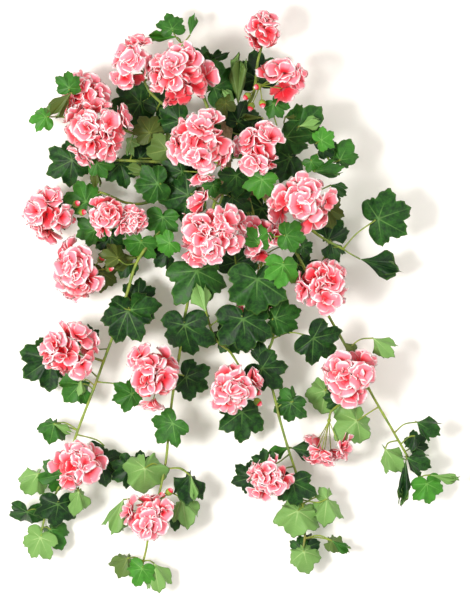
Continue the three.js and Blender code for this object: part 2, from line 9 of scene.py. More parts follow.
import bpy
import numpy as np
from bpy.props import FloatProperty, FloatVectorProperty, PointerProperty
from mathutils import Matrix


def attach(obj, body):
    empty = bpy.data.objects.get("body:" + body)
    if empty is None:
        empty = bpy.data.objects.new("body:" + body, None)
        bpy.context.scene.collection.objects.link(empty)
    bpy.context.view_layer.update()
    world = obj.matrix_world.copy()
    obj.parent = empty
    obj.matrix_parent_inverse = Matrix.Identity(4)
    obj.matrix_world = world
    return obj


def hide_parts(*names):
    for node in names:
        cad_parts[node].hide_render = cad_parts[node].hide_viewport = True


bl_info = {
    "name": "Ivy Geranium Bush",
    "version": (1, 0, 0),
    "blender": (4, 5, 0),
    "location": "3D View > Sidebar > Geranium",
    "description": "Builds the stems, lobed leaves and double flower heads of a trailing ivy geranium",
    "category": "Object",
}

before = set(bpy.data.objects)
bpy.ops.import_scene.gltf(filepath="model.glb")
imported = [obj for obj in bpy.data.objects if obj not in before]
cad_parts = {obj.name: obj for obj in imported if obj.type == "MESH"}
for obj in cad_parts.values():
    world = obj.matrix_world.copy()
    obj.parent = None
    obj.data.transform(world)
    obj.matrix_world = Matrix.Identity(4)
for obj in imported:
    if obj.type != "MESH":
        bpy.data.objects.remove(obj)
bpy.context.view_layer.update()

# Layout. Plan places are in steps of PLAN_STEP to the right and downwards, heights in millimetres.
TO_MM = 1000
TO_METRES = 0.001
PLAN_STEP = 1.17
BASE_PLAN = (226, 140)

# A leaf: its middle lobe as a share of its width, and how far behind its middle the stalk of an open
# leaf ends as a share of that lobe.
WIDTH_TO_REACH = 1 / 1.5
STALK_END = 0.08

# Random draws: a turn in radians, and where the seeds of the base, the stems and the heads start.
FULL_TURN = 6.28
BASE_SEED = 7
STEM_SEED = 20
HEAD_SEED = 100

# How light a leaf's upper face is, from 0 to 1, and how much of its pale underside colour it shows.
# The lightness is partly the leaf's own green and partly painted shade and light: dark for leaves lying
# low or deep in the bush, light for leaves on top. A share of about 0.4 gives the olive of an underside in
# painted shade.
LOOKS = {
    "dark": (0.07, 0.0),
    "deep": (0.18, 0.0),
    "mid": (0.4, 0.0),
    "bright": (0.78, 0.0),
    "olive": (0.3, 0.4),
    "sage": (0.5, 0.58),
    "lime": (0.75, 0.84),
    "pale": (0.6, 0.9),
}
UNDER_PALE = 0.95

# The leafy stems by the last letter of their nodes: where the stem leaves the base's branches, its
# further points, its leaves and the leaves that lie flat on the surface. A leaf has its stalk's
# place x, y, z, heading of the middle lobe (0 right, 90 up the plan), width, dip of the tip and
# roll in degrees, look, and for a half-shut leaf its opening angle. A flat one has x, y, heading,
# width and look.
STEMS = {
    "a": ((190, 190, 50), [
        (160, 230, 52), (137, 262, 52), (128, 290, 48), (114, 333, 44), (104, 360, 42), (95, 385, 42),
        (76, 435, 40), (60, 484, 36), (46, 513, 34), (41, 532, 32),
    ], [
        (118, 258, 64, 120, 32, 20, 20, "olive"), (128, 311, 62, 245, 54, 15, 0, "dark"),
        (131, 310, 70, 12, 46, 10, 0, "deep", 42), (132, 394, 56, 195, 34, 10, 0, "mid"),
        (50, 359, 34, 215, 52, 10, 0, "dark"), (80, 384, 48, 228, 38, 5, 0, "mid", 48),
        (54, 424, 46, 252, 34, 5, 0, "mid", 52), (100, 462, 30, 330, 38, 15, 0, "dark"),
        (62, 474, 46, 195, 38, 15, 0, "mid"), (38, 474, 42, 238, 42, 20, 0, "pale", 36),
        (58, 504, 46, 260, 42, 15, 0, "dark"), (79, 491, 58, 258, 46, 35, 0, "pale", 24),
        (27, 512, 40, 262, 36, 55, 0, "deep", 70), (50, 530, 28, 302, 36, 10, 0, "mid", 50),
        (40, 538, 36, 245, 36, 20, 0, "lime"), (138, 299, 42, 82, 34, 10, 0, "dark"),
        (86, 340, 26, 80, 26, 10, 0, "dark"), (81, 380, 50, 262, 26, 0, 0, "pale", 18),
        (54, 424, 48, 335, 30, 0, 0, "lime", 12), (104, 446, 36, 190, 28, 0, 0, "dark", 22),
    ], []),
    "b": ((200, 195, 42), [
        (192, 240, 38), (188, 300, 44), (183, 325, 48), (180, 350, 46), (172, 400, 44), (168, 440, 42),
        (166, 460, 40), (160, 490, 36), (150, 525, 32), (146, 550, 30), (142, 566, 28),
    ], [
        (185, 325, 62, 280, 54, 20, 0, "dark"), (186, 377, 40, 330, 42, 10, 0, "dark"),
        (173, 423, 60, 228, 38, 15, 0, "mid"), (145, 468, 62, 267, 56, 42, 0, "pale", 44),
        (123, 500, 38, 252, 56, 5, 0, "pale", 24), (182, 499, 42, 283, 46, 5, 0, "pale", 32),
        (190, 475, 52, 262, 46, 5, 0, "dark", 34), (127, 559, 30, 245, 34, 0, 0, "sage", 46),
        (142, 569, 38, 250, 30, 15, 10, "bright"), (154, 564, 34, 283, 46, 5, 0, "pale", 32),
        (140, 468, 26, 90, 26, 10, 0, "dark"), (130, 468, 34, 215, 34, 10, 0, "dark"),
        (177, 512, 30, 260, 30, 10, 0, "deep"), (191, 476, 56, 281, 40, 0, 0, "pale", 9),
    ], []),
    "c": ((215, 200, 55), [(201, 260, 60), (205, 305, 58), (216, 340, 50), (230, 352, 46), (238, 364, 44)], [
        (197, 271, 94, 282, 64, 22, 0, "deep"), (206, 312, 102, 108, 44, 0, 0, "pale", 16),
        (243, 319, 72, 275, 55, 15, 0, "dark"), (242, 412, 38, 270, 47, 12, 0, "dark"),
        (230, 335, 36, 240, 32, 15, 20, "dark"),
    ], [(234, 388, 200, 36, "dark")]),
    "d": ((250, 200, 45), [
        (262, 250, 34), (272, 300, 34), (273, 338, 46), (263, 365, 50), (272, 388, 50), (280, 420, 48),
        (288, 448, 46), (298, 480, 42), (303, 510, 38), (305, 537, 34), (302, 556, 32),
    ], [
        (275, 318, 64, 20, 44, 10, 0, "deep"), (262, 368, 62, 312, 42, 15, 0, "dark"),
        (313, 338, 68, 320, 46, 15, 0, "dark"), (291, 403, 54, 265, 32, 20, 0, "deep"),
        (266, 462, 66, 105, 24, 5, 0, "dark"), (292, 448, 38, 352, 46, 0, 0, "dark", 22),
        (252, 478, 30, 195, 34, 20, 0, "dark"), (293, 482, 56, 278, 42, 15, 0, "dark"),
        (327, 499, 40, 268, 44, 0, 0, "pale", 42), (298, 511, 48, 262, 46, 5, 0, "pale", 58),
        (332, 541, 34, 300, 26, 30, 0, "sage", 34), (304, 552, 38, 278, 38, 15, 0, "lime", 52),
        (261, 364, 58, 95, 36, 0, 0, "dark", 30), (303, 551, 28, 150, 26, 10, 0, "deep"),
        (293, 401, 56, 135, 26, 0, 0, "mid", 45), (290, 447, 44, 203, 38, 0, 0, "mid", 14),
        (327, 499, 42, 122, 20, 0, 0, "pale", 40), (332, 541, 34, 326, 34, 0, 0, "mid", 8),
        (304, 549, 26, 20, 28, 0, 0, "dark", 45),
    ], []),
    "e": ((260, 190, 52), [
        (295, 250, 48), (326, 311, 46), (343, 341, 48), (358, 368, 46), (374, 398, 44), (392, 429, 42),
        (404, 450, 38), (414, 467, 36), (422, 482, 34),
    ], [
        (325, 391, 36, 262, 40, 25, 0, "lime", 54), (373, 338, 60, 318, 42, 0, 0, "pale", 26),
        (417, 422, 52, 331, 44, 5, 0, "deep", 32), (385, 449, 54, 305, 46, 10, 0, "pale", 34),
        (407, 458, 46, 340, 40, 0, 0, "dark", 34), (430, 475, 44, 350, 46, 0, 0, "pale", 6),
        (427, 484, 40, 280, 34, 20, 0, "bright"), (357, 421, 50, 216, 44, 5, 0, "pale", 60),
        (298, 265, 42, 355, 28, 10, 0, "dark"), (414, 446, 24, 40, 26, 10, 0, "dark"),
        (343, 342, 52, 318, 30, 0, 0, "olive", 15), (338, 400, 44, 120, 26, 10, 0, "dark"),
        (415, 436, 46, 255, 24, 0, 0, "dark", 30), (406, 460, 48, 265, 68, 0, 0, "dark", 12),
    ], []),
    "f": ((280, 200, 60), [(318, 235, 58), (343, 249, 56)], [
        (331, 185, 52, 326, 30, 0, 0, "deep", 35), (378, 219, 72, 20, 56, 12, 0, "deep"),
        (360, 259, 50, 343, 64, 0, 10, "dark", 9), (328, 240, 42, 66, 44, 5, 0, "dark", 38),
        (326, 208, 72, 285, 34, 15, 0, "olive"), (331, 241, 40, 285, 34, 0, 0, "dark", 30),
    ], [(324, 266, 290, 36, "dark")]),
    "g": ((262, 138, 60), [(280, 134, 62), (297, 132, 64), (320, 145, 62), (330, 162, 58)], [
        (274, 104, 68, 300, 26, 20, 30, "mid"), (297, 131, 80, 40, 50, 0, 0, "deep", 52),
        (286, 138, 74, 325, 44, 20, 0, "deep"), (321, 141, 88, 30, 25, 20, 0, "bright"),
        (340, 160, 64, 62, 34, 5, 0, "mid", 58), (314, 172, 78, 10, 44, 0, 0, "mid", 22),
        (311, 162, 74, 300, 20, 10, 0, "mid"), (262, 118, 72, 180, 34, 0, 0, "olive", 12),
        (285, 118, 72, 0, 34, 0, 0, "olive", 12), (322, 149, 70, 20, 24, 10, 0, "dark"),
        (299, 127, 84, 15, 32, 0, 0, "pale", 14),
    ], []),
    "h": ((242, 110, 55), [(252, 98, 54), (258, 60, 46), (262, 46, 44)], [
        (238, 105, 64, 88, 78, 0, 0, "sage", 10), (258, 78, 34, 95, 44, 10, 0, "dark"),
        (235, 105, 66, 130, 30, 0, 0, "pale", 22),
    ], []),
    "i": ((208, 110, 50), [(190, 62, 48), (181, 43, 48)], [
        (172, 29, 54, 105, 27, 30, 0, "mid"), (190, 35, 50, 78, 32, 0, 0, "mid", 17),
        (177, 37, 46, 177, 46, 0, 0, "bright", 8), (210, 60, 52, 15, 30, 10, 45, "dark"),
        (214, 88, 62, 35, 48, 15, 0, "deep"), (203, 62, 42, 80, 28, 10, 30, "dark"),
    ], [(200, 78, 100, 46, "dark")]),
    "j": ((185, 122, 52), [(150, 92, 46), (142, 76, 46)], [
        (140, 102, 30, 190, 48, 8, 0, "dark"), (158, 108, 38, 60, 36, 10, 0, "dark"),
    ], []),
    "k": ((180, 148, 54), [(130, 132, 36), (85, 118, 28), (55, 116, 30)], [
        (70, 89, 92, 95, 27, 5, 0, "mid"), (72, 94, 93, 226, 50, 5, 0, "olive", 20),
        (46, 117, 56, 190, 27, 15, 0, "bright"), (150, 133, 62, 118, 32, 20, 20, "olive"),
    ], []),
    "l": ((178, 163, 46), [(120, 160, 38), (72, 158, 34)], [
        (72, 160, 42, 212, 44, 20, 0, "dark"), (97, 163, 56, 350, 28, 10, 0, "mid"),
        (120, 163, 28, 280, 38, 10, 0, "dark"), (167, 150, 76, 195, 36, 25, -20, "sage", 60),
        (131, 141, 50, 250, 24, 20, 50, "pale"), (96, 166, 50, 268, 34, 0, 0, "olive", 16),
    ], []),
    "m": ((184, 180, 58), [(145, 203, 52), (127, 203, 50), (95, 192, 46), (78, 206, 44)], [
        (150, 173, 66, 165, 36, 0, 0, "sage", 22), (158, 184, 74, 186, 42, 20, 0, "deep"),
        (86, 202, 52, 115, 36, 15, 0, "mid"), (95, 230, 48, 198, 34, 20, 0, "mid"),
        (110, 236, 34, 270, 32, 10, 0, "dark"),
    ], [(58, 214, 185, 34, "dark")]),
    "n": ((190, 203, 44), [(160, 235, 38), (125, 262, 36), (104, 268, 38)], [
        (170, 243, 68, 210, 28, 20, 0, "bright"), (163, 217, 60, 265, 34, 20, 0, "mid"),
        (141, 242, 58, 250, 38, 45, 0, "mid"), (102, 273, 38, 268, 34, 25, 0, "olive"),
        (137, 257, 46, 193, 48, 0, 0, "olive", 14), (168, 250, 44, 236, 34, 5, 0, "dark", 32),
        (128, 261, 40, 250, 28, 5, 0, "dark", 50),
    ], []),
    "o": ((232, 170, 64), [(224, 192, 72), (216, 214, 78)], [
        (182, 172, 66, 200, 34, 10, 0, "dark"), (188, 195, 64, 200, 50, 15, 0, "dark"),
        (236, 176, 88, 275, 38, 20, 0, "dark"), (232, 198, 68, 330, 34, 10, 0, "dark"),
        (213, 186, 90, 280, 22, 15, 0, "mid"),
    ], []),
    "p": ((240, 197, 56), [(252, 222, 48), (262, 262, 50)], [
        (262, 180, 90, 258, 33, 10, 0, "bright"), (258, 243, 108, 75, 30, 10, 20, "bright"),
        (286, 236, 114, 352, 32, 15, 0, "mid"), (283, 265, 100, 262, 38, 15, 0, "bright"),
        (303, 247, 54, 330, 18, 10, 0, "dark"), (257, 279, 92, 270, 62, 15, 0, "deep"),
    ], []),
}

BASE_ROUTE = [(227, 122, 50), (226, 150, 52), (226, 186, 50)]
# Leaves of the base. Most lie low in the middle of the bush and are dark: painted shade filling the gaps
# between the leaves above.
BASE_LEAVES = [
    (180, 121, 62, 200, 40, 10, 0, "dark"), (238, 122, 66, 70, 36, 10, 0, "dark"),
    (226, 104, 78, 225, 28, 15, 45, "olive"), (140, 158, 30, 0, 40, 10, 0, "dark"),
    (246, 130, 40, 80, 40, 10, 0, "dark"), (290, 158, 36, 200, 46, 10, 0, "dark"),
    (262, 208, 34, 250, 46, 10, 0, "dark"), (196, 160, 30, 120, 46, 10, 0, "dark"),
    (236, 262, 34, 90, 44, 10, 0, "dark"),
]
BASE_RESTING = [(220, 143, 30, 50, "dark")]

# Flower heads in the order of their nodes: the letter of its stem, centre x, y, z, half width and
# half height, tilt of the face to the right and up the plan, its buds as x, y, z, then the side
# where it has no florets, and how far out its throats lie where it is seen from behind.
HEADS = [
    ("j", 134, 65, 74, 23, 28, -0.6, 0.5, []),
    ("i", 180, 80, 98, 35, 35, -0.1, 0.3, []),
    ("k", 84, 97, 54, 30, 25, -0.3, 0.4, []),
    ("k", 96, 131, 88, 38, 32, 0.1, 0.1, []),
    ("o", 201, 147, 126, 35, 37, -0.1, 0.2, []),
    ("h", 263, 33, 62, 19, 24, 0.1, 0.8, []),
    ("h", 275, 82, 82, 27, 29, 0.7, 0.2,
     [(254, 88, 66), (243, 100, 70), (249, 112, 74), (263, 109, 76)], (-0.6, -0.8, 0.3)),
    ("g", 259, 150, 108, 22, 29, -0.4, 0, []),
    ("f", 301, 203, 112, 36, 30, 0.2, 0, []),
    ("o", 210, 230, 130, 35, 37, 0, -0.2, []),
    ("p", 262, 239, 82, 22, 27, 0, 0, []),
    ("m", 50, 213, 58, 24, 29, -0.5, 0, [(80, 202, 60), (87, 212, 56), (76, 222, 52)]),
    ("m", 108, 215, 84, 21, 22, 0, 0, []),
    ("m", 133, 221, 78, 15, 15, 0.4, 0, []),
    ("n", 79, 271, 60, 24, 35, -0.4, 0, [(104, 256, 52), (114, 268, 54)]),
    ("a", 68, 350, 62, 33, 28, -0.3, 0.1, []),
    ("b", 154, 376, 74, 26, 33, -0.2, 0.1, []),
    ("c", 234, 386, 74, 27, 26, -0.3, 0, [(262, 394, 56), (262, 406, 54)]),
    ("e", 322, 284, 80, 29, 27, 0.1, 0.1, []),
    ("e", 349, 376, 70, 27, 28, -0.1, 0, [(362, 355, 56)]),
    ("a", 77, 465, 58, 28, 23, 0.1, 0.2, [(79, 444, 54)]),
    ("b", 150, 517, 58, 26, 24, 0, -0.2, [(164, 492, 52), (173, 488, 50)]),
    ("d", 271, 477, 58, 24, 23, -0.2, 0.1, []),
    ("e", 325, 442, 44, 28, 23, -0.3, -1.6, [], (0.1, 0.5, 1), 0.62),
    ("p", 256, 304, 50, 24, 13, 0, -0.5, []),
]

# Leaf outline lobe by lobe: angle of its tip, angle of the notch after it, tip and notch as shares
# of the middle lobe. Grid of a blade: columns round the stalk, rings from the stalk to the rim.
LOBE_TIPS = np.array([-103.0, -52.0, 0.0, 52.0, 103.0])
LOBE_REACH = np.array([0.76, 0.95, 1.0, 0.95, 0.76])
NOTCH_ANGLES = np.array([-180.0, -78.0, -26.0, 26.0, 78.0, 180.0])
NOTCH_REACH = np.array([0.14, 0.56, 0.66, 0.66, 0.56, 0.14])
BLADE_COLUMNS = 72
BLADE_RINGS = np.array([0.1, 0.24, 0.4, 0.56, 0.72, 0.86, 0.95, 1.0])

# Opening angles of an open leaf in degrees, how far a half-shut leaf's sides fold back, and how much
# of the full waves and creases a flat, an open and a half-shut blade has.
OPENING = (66, 88)
FOLD_BACK = 0.52
FLAT_LIFT = 0.05
OPEN_LIFT = 1
SHUT_LIFT = 1.3

# Grid of a petal: rows from base to tip and columns across.
PETAL_ROWS = np.array([0.0, 0.24, 0.48, 0.7, 0.88, 1.0])
PETAL_COLUMNS = np.array([-1.0, -0.72, -0.36, 0.0, 0.36, 0.72, 1.0])

# Petals of a floret: length and width as shares of an outer petal's length, opening angles at base
# and tip in degrees, and how many.
WHORLS = [(1.0, 0.98, 46, 94, 5), (0.76, 0.86, 22, 72, 4)]

# A head: its depth as a share of width plus height, the florets of its dome and skirt per square of
# its size over a floret's radius, how far a throat lies under the surface as a share of that radius,
# how much a floret's axis leans to the facing, the share of what stands out of the head that stays,
# and the cosine to its bare side past which florets are left out.
HEAD_DEPTH = 0.42
DOME_FLORETS = 1.3
SKIRT_FLORETS = 0.85
THROAT_DEPTH = 0.62
LEAN = 0.55
STANDS_OUT = 0.7
BARE_FROM = 0.25
GOLDEN_ANGLE = math.pi * (3 - math.sqrt(5))

# A bud: its length, its widest radius and its radius at both ends.
BUD_LENGTH = 13
BUD_RADIUS = 4.5
BUD_END = 0.35

# Places of the materials in a piece's list. A head's petals take the place of a stem's leaves.
STALK_FINISH = 0
LEAF_FINISH = 1
PETAL_FINISH = 1
BARK_FINISH = 2

# What every point carries. tone: light or dark, for a leaf and its stalk partly painted shade and light, for
# a
# petal a random blush. pale: how much of a leaf's underside colour shows, and for a petal how deep in its
# head
# it lies, which paints shade. reach: 0 at the middle or base, 1 at the rim. across: distance from the
# nearest
# main vein. along: distance along it.
VALUE_NAMES = ("tone", "pale", "reach", "across", "along")

# The camera's frame on the bush: its middle and its height in metres.
FRAME_STEP = PLAN_STEP * TO_METRES
FRAME_CENTRE = ((235 - BASE_PLAN[0]) * FRAME_STEP, (BASE_PLAN[1] - 300) * FRAME_STEP, 0.0)
FRAME_HEIGHT = 600 * FRAME_STEP


def rgb(red, green, blue):
    """A display colour as the linear colour that shaders take."""
    return tuple(c / 12.92 if c <= 0.04045 else ((c + 0.055) / 1.055) ** 2.4 for c in (red, green, blue))


def length_setting(name, description, default, least):
    """A length in metres as a setting."""
    return FloatProperty(name=name, description=description, default=default, min=least, unit="LENGTH")


def colour_setting(name, description, red, green, blue):
    """A colour as a setting, its default given as a display colour."""
    shade = rgb(red, green, blue)
    return FloatVectorProperty(name=name, description=description, default=shade, subtype="COLOR")


class LeafSettings(bpy.types.PropertyGroup):
    """Sizes and colours of the leaves."""

    thickness: length_setting("Blade Thickness", "Thickness of a blade at its stalk", 0.0007, 0.0002)
    stalk: length_setting("Stalk Radius", "Radius of a leaf stalk", 0.00085, 0.0003)
    # Painted shade and light: the dark colour stands for the shade on leaves deep in the bush, and the
    # bright one for the light on leaves on top. A leaf's tone mixes the two.
    dark: colour_setting("Shaded Leaf", "Upper face of a leaf in painted shade", 0.03, 0.155, 0.05)
    bright: colour_setting("Lit Leaf", "Upper face of a leaf in painted light", 0.27, 0.55, 0.16)
    under: colour_setting("Underside", "Pale underside of a leaf", 0.43, 0.59, 0.31)


class HeadSettings(bpy.types.PropertyGroup):
    """Sizes and colours of the flower heads."""

    petal: length_setting("Petal Length", "Length of an outer petal", 0.0225, 0.004)
    spacing: length_setting("Floret Radius", "Radius of a floret's room in a head", 0.0165, 0.004)
    rim: colour_setting("Petal Rim", "Colour of a petal's rim", 1.0, 0.98, 0.98)
    middle: colour_setting("Petal Middle", "Colour of a petal's middle", 0.955, 0.5, 0.57)
    base: colour_setting("Petal Base", "Colour of a petal's base", 0.86, 0.03, 0.14)


class StemSettings(bpy.types.PropertyGroup):
    """Sizes and colours of the stems and the woody base."""

    radius: length_setting("Stem Radius", "Radius of a leafy stem", 0.0018, 0.0005)
    base_radius: length_setting("Base Radius", "Radius of the woody base", 0.0069, 0.002)
    green: colour_setting("Stem", "Colour of the green stems", 0.56, 0.64, 0.2)
    bark: colour_setting("Bark", "Colour of the woody base", 0.4, 0.32, 0.2)


class StageSettings(bpy.types.PropertyGroup):
    """The surface, the light and the camera."""

    camera_height: length_setting("Camera Height", "Height of the camera over the surface", 8.0, 1.0)
    key: FloatProperty(name="Key Light", description="Power of the key light", default=64.0, unit="POWER")
    sky: FloatProperty(name="Sky", description="Strength of the light from all round", default=0.86)


def place(points):
    """Plan places with heights as points: x less the base's x and the base's y less y, in plan steps."""
    x, y, z = np.asarray(points, dtype=float).reshape(-1, 3).T
    return np.stack([(x - BASE_PLAN[0]) * PLAN_STEP, (BASE_PLAN[1] - y) * PLAN_STEP, z], axis=-1)


def unit(vectors):
    """Vectors divided by their lengths."""
    return vectors / np.maximum(np.linalg.norm(vectors, axis=-1, keepdims=True), 1e-9)


def smooth_line(points, count):
    """A centripetal Catmull-Rom line through the points, as count places at even distances.

    Between two points a and b with neighbours before and after, knots are apart by the square root
    of the distance, and the line is the cubic that has the slopes of that spacing at a and b.
    """
    points = np.asarray(points, dtype=float)
    padded = np.vstack([2 * points[0] - points[1], points, 2 * points[-1] - points[-2]])
    p0, p1, p2, p3 = (padded[i : len(padded) - 3 + i] for i in range(4))
    knots = np.sqrt(np.linalg.norm(np.diff(padded, axis=0), axis=1, keepdims=True))
    d0, d1, d2 = (knots[i : len(knots) - 2 + i] for i in range(3))
    slope1 = ((p1 - p0) / d0 - (p2 - p0) / (d0 + d1) + (p2 - p1) / d1) * d1
    slope2 = ((p2 - p1) / d1 - (p3 - p1) / (d1 + d2) + (p3 - p2) / d2) * d1
    t = np.linspace(0, 1, 24, endpoint=False)[:, None, None]
    curve = (
        (2 * t**3 - 3 * t**2 + 1) * p1 + (t**3 - 2 * t**2 + t) * slope1
        + (3 * t**2 - 2 * t**3) * p2 + (t**3 - t**2) * slope2
    )
    dense = np.vstack([curve.transpose(1, 0, 2).reshape(-1, 3), points[-1:]])
    run = np.concatenate([[0], np.cumsum(np.linalg.norm(np.diff(dense, axis=0), axis=1))])
    even = np.linspace(0, run[-1], count)
    return np.stack([np.interp(even, run, dense[:, k]) for k in range(3)], axis=-1)


def nearest(line, target):
    """The place on a line that is nearest to a target."""
    return line[np.argmin(np.linalg.norm(line - target, axis=1))]


class Sheaf:
    """The points, faces and values of one piece, gathered part by part."""

    def __init__(self):
        self.points = []
        self.faces = []
        self.finish = []
        self.values = []
        self.count = 0

    def add(self, points, faces, finish, values):
        """Adds points (n, 3), a list of faces arrays that index them, and one row of values a point."""
        points = np.asarray(points).reshape(-1, 3)
        self.points.append(points)
        self.values.append(np.broadcast_to(values, (len(points), len(VALUE_NAMES))))
        for part in faces:
            self.faces.append(part + self.count)
            self.finish.append(np.full(len(part), finish))
        self.count += len(points)

    def build(self, name, materials):
        """Writes the mesh in metres with smooth faces, its values as attributes and its materials."""
        points = np.concatenate(self.points) * TO_METRES
        values = np.concatenate(self.values)
        corners = np.concatenate([part.ravel() for part in self.faces]).astype(np.int32)
        sizes = np.concatenate([np.full(len(part), part.shape[1]) for part in self.faces])
        starts = np.concatenate([[0], np.cumsum(sizes)[:-1]]).astype(np.int32)
        mesh = bpy.data.meshes.new(name)
        mesh.vertices.add(len(points))
        mesh.vertices.foreach_set("co", points.ravel().astype(np.float32))
        mesh.loops.add(len(corners))
        mesh.loops.foreach_set("vertex_index", corners)
        mesh.polygons.add(len(sizes))
        mesh.polygons.foreach_set("loop_start", starts)
        mesh.polygons.foreach_set("material_index", np.concatenate(self.finish).astype(np.int32))
        mesh.polygons.foreach_set("use_smooth", np.ones(len(sizes), dtype=bool))
        for k, value_name in enumerate(VALUE_NAMES):
            layer = mesh.attributes.new(value_name, "FLOAT", "POINT")
            layer.data.foreach_set("value", values[:, k].astype(np.float32))
        mesh.update(calc_edges=True)
        if mesh.validate():
            raise RuntimeError(f"{name} has faces that Blender had to mend")
        for material in materials:
            mesh.materials.append(material)
        piece = bpy.data.objects.new(name, mesh)
        bpy.context.scene.collection.objects.link(piece)
        return piece


def values_of(shape, tone=0.5, pale=0.0, reach=0.5, across=0.0, along=0.0):
    """Rows of values for a grid of points, each value a number or an array of that shape."""
    grids = [np.broadcast_to(v, shape) for v in (tone, pale, reach, across, along)]
    return np.stack(grids, axis=-1).reshape(-1, len(VALUE_NAMES))


def repeat_faces(faces, copies, points_each):
    """The faces of a pattern for several copies of its points, one after the other."""
    starts = (np.arange(copies) * points_each)[:, None, None]
    return [(part[None] + starts).reshape(-1, part.shape[1]) for part in faces]


def tubes(sheaf, lines, radii, sides, finish, tone):
    """Round tubes along lines (k, stations, 3) with radii (stations,) or (k, stations).

    A point is the line's place plus radius times (cos turn times side plus sin turn times upright),
    where side is square to the line and to the axis that its chord is least along. The ends are
    closed by flat faces.
    """
    lines = np.asarray(lines)
    copies, stations, _ = lines.shape
    radii = np.broadcast_to(radii, (copies, stations))
    run = unit(np.gradient(lines, axis=1))
    away = np.eye(3)[np.argmin(np.abs(lines[:, -1] - lines[:, 0]), axis=1)]
    side = unit(np.cross(run, away[:, None]))
    upright = np.cross(run, side)
    turn = np.arange(sides) / sides * 2 * math.pi
    ring = np.cos(turn)[:, None] * side[:, :, None] + np.sin(turn)[:, None] * upright[:, :, None]
    points = lines[:, :, None] + radii[:, :, None, None] * ring
    index = np.arange(stations * sides).reshape(stations, sides)
    a, b = index[:-1], np.roll(index, -1, axis=1)[:-1]
    c, d = np.roll(index, -1, axis=1)[1:], index[1:]
    faces = [np.stack([a, b, c, d], axis=-1).reshape(-1, 4), index[0][None, ::-1], index[-1][None]]
    reach = np.linspace(0, 1, stations)[None, :, None]
    values = values_of((copies, stations, sides), tone=tone, reach=reach)
    sheaf.add(points, repeat_faces(faces, copies, stations * sides), finish, values)


def outline(angles, rng):
    """A blade's rim as shares of its middle lobe, and how far each angle lies from its lobe's axis.

    Within a lobe, s is 0 at the tip and 1 at either notch. The rim is notch + (tip - notch) times
    (1 - s to a power of 1.5 to 2.3), with small teeth of three waves a lobe that fade at the notches.
    The wide gap behind the stalk has the power 1.5 and no teeth.
    """
    degrees = (np.degrees(angles) + 180) % 360 - 180
    tips = LOBE_TIPS + rng.uniform(-5, 5, 5)
    reach = LOBE_REACH * rng.uniform(0.9, 1.05, 5)
    lobe = np.clip(np.searchsorted(NOTCH_ANGLES, degrees, side="right") - 1, 0, 4)
    off = degrees - tips[lobe]
    after = off > 0
    span = np.where(after, NOTCH_ANGLES[lobe + 1] - tips[lobe], tips[lobe] - NOTCH_ANGLES[lobe])
    notch = np.where(after, NOTCH_REACH[lobe + 1], NOTCH_REACH[lobe])
    s = np.abs(off) / span
    power = np.where(span > 45, 1.5, rng.uniform(1.5, 2.3))
    teeth = 0.05 * np.cos(2 * math.pi * 1.5 * s) * np.clip(1 - s, 0, 1) ** 0.5
    share = notch + (reach[lobe] - notch) * (1 - s**power) + teeth * (span < 45)
    return share, s, np.radians(off)


def blade_faces():
    """Faces of a two-sided blade: a fan round the middle and strips between rings on both faces.

    Points are in the order upper middle, lower middle, upper rings, lower rings without the rim,
    which both faces share, so the shell is closed.
    """
    rings = len(BLADE_RINGS)
    upper = 2 + np.arange(rings * BLADE_COLUMNS).reshape(rings, BLADE_COLUMNS)
    lower = upper + rings * BLADE_COLUMNS
    lower[-1] = upper[-1]

    def strips(grid):
        turned = np.roll(grid, -1, axis=1)
        return np.stack([grid[:-1], grid[1:], turned[1:], turned[:-1]], axis=-1).reshape(-1, 4)

    def fan(middle, ring):
        return np.stack([np.full(BLADE_COLUMNS, middle), ring, np.roll(ring, -1)], axis=-1)

    fans = np.vstack([fan(0, upper[0]), fan(1, lower[0])[:, ::-1]])
    return [fans, np.vstack([strips(upper), strips(lower)[:, ::-1]])]


def blade_axes(heading, dip, roll):
    """Along, left and up of a blade: turned by heading, tip lowered by dip, then rolled about along."""
    h, d, r = np.radians([heading, dip, roll])
    ahead = np.array([math.cos(h), math.sin(h), 0])
    left = np.array([-math.sin(h), math.cos(h), 0])
    high = np.array([0, 0, 1.0])
    along = ahead * math.cos(d) - high * math.sin(d)
    up = high * math.cos(d) + ahead * math.sin(d)
    return along, left * math.cos(r) + up * math.sin(r), up * math.cos(r) - left * math.sin(r)


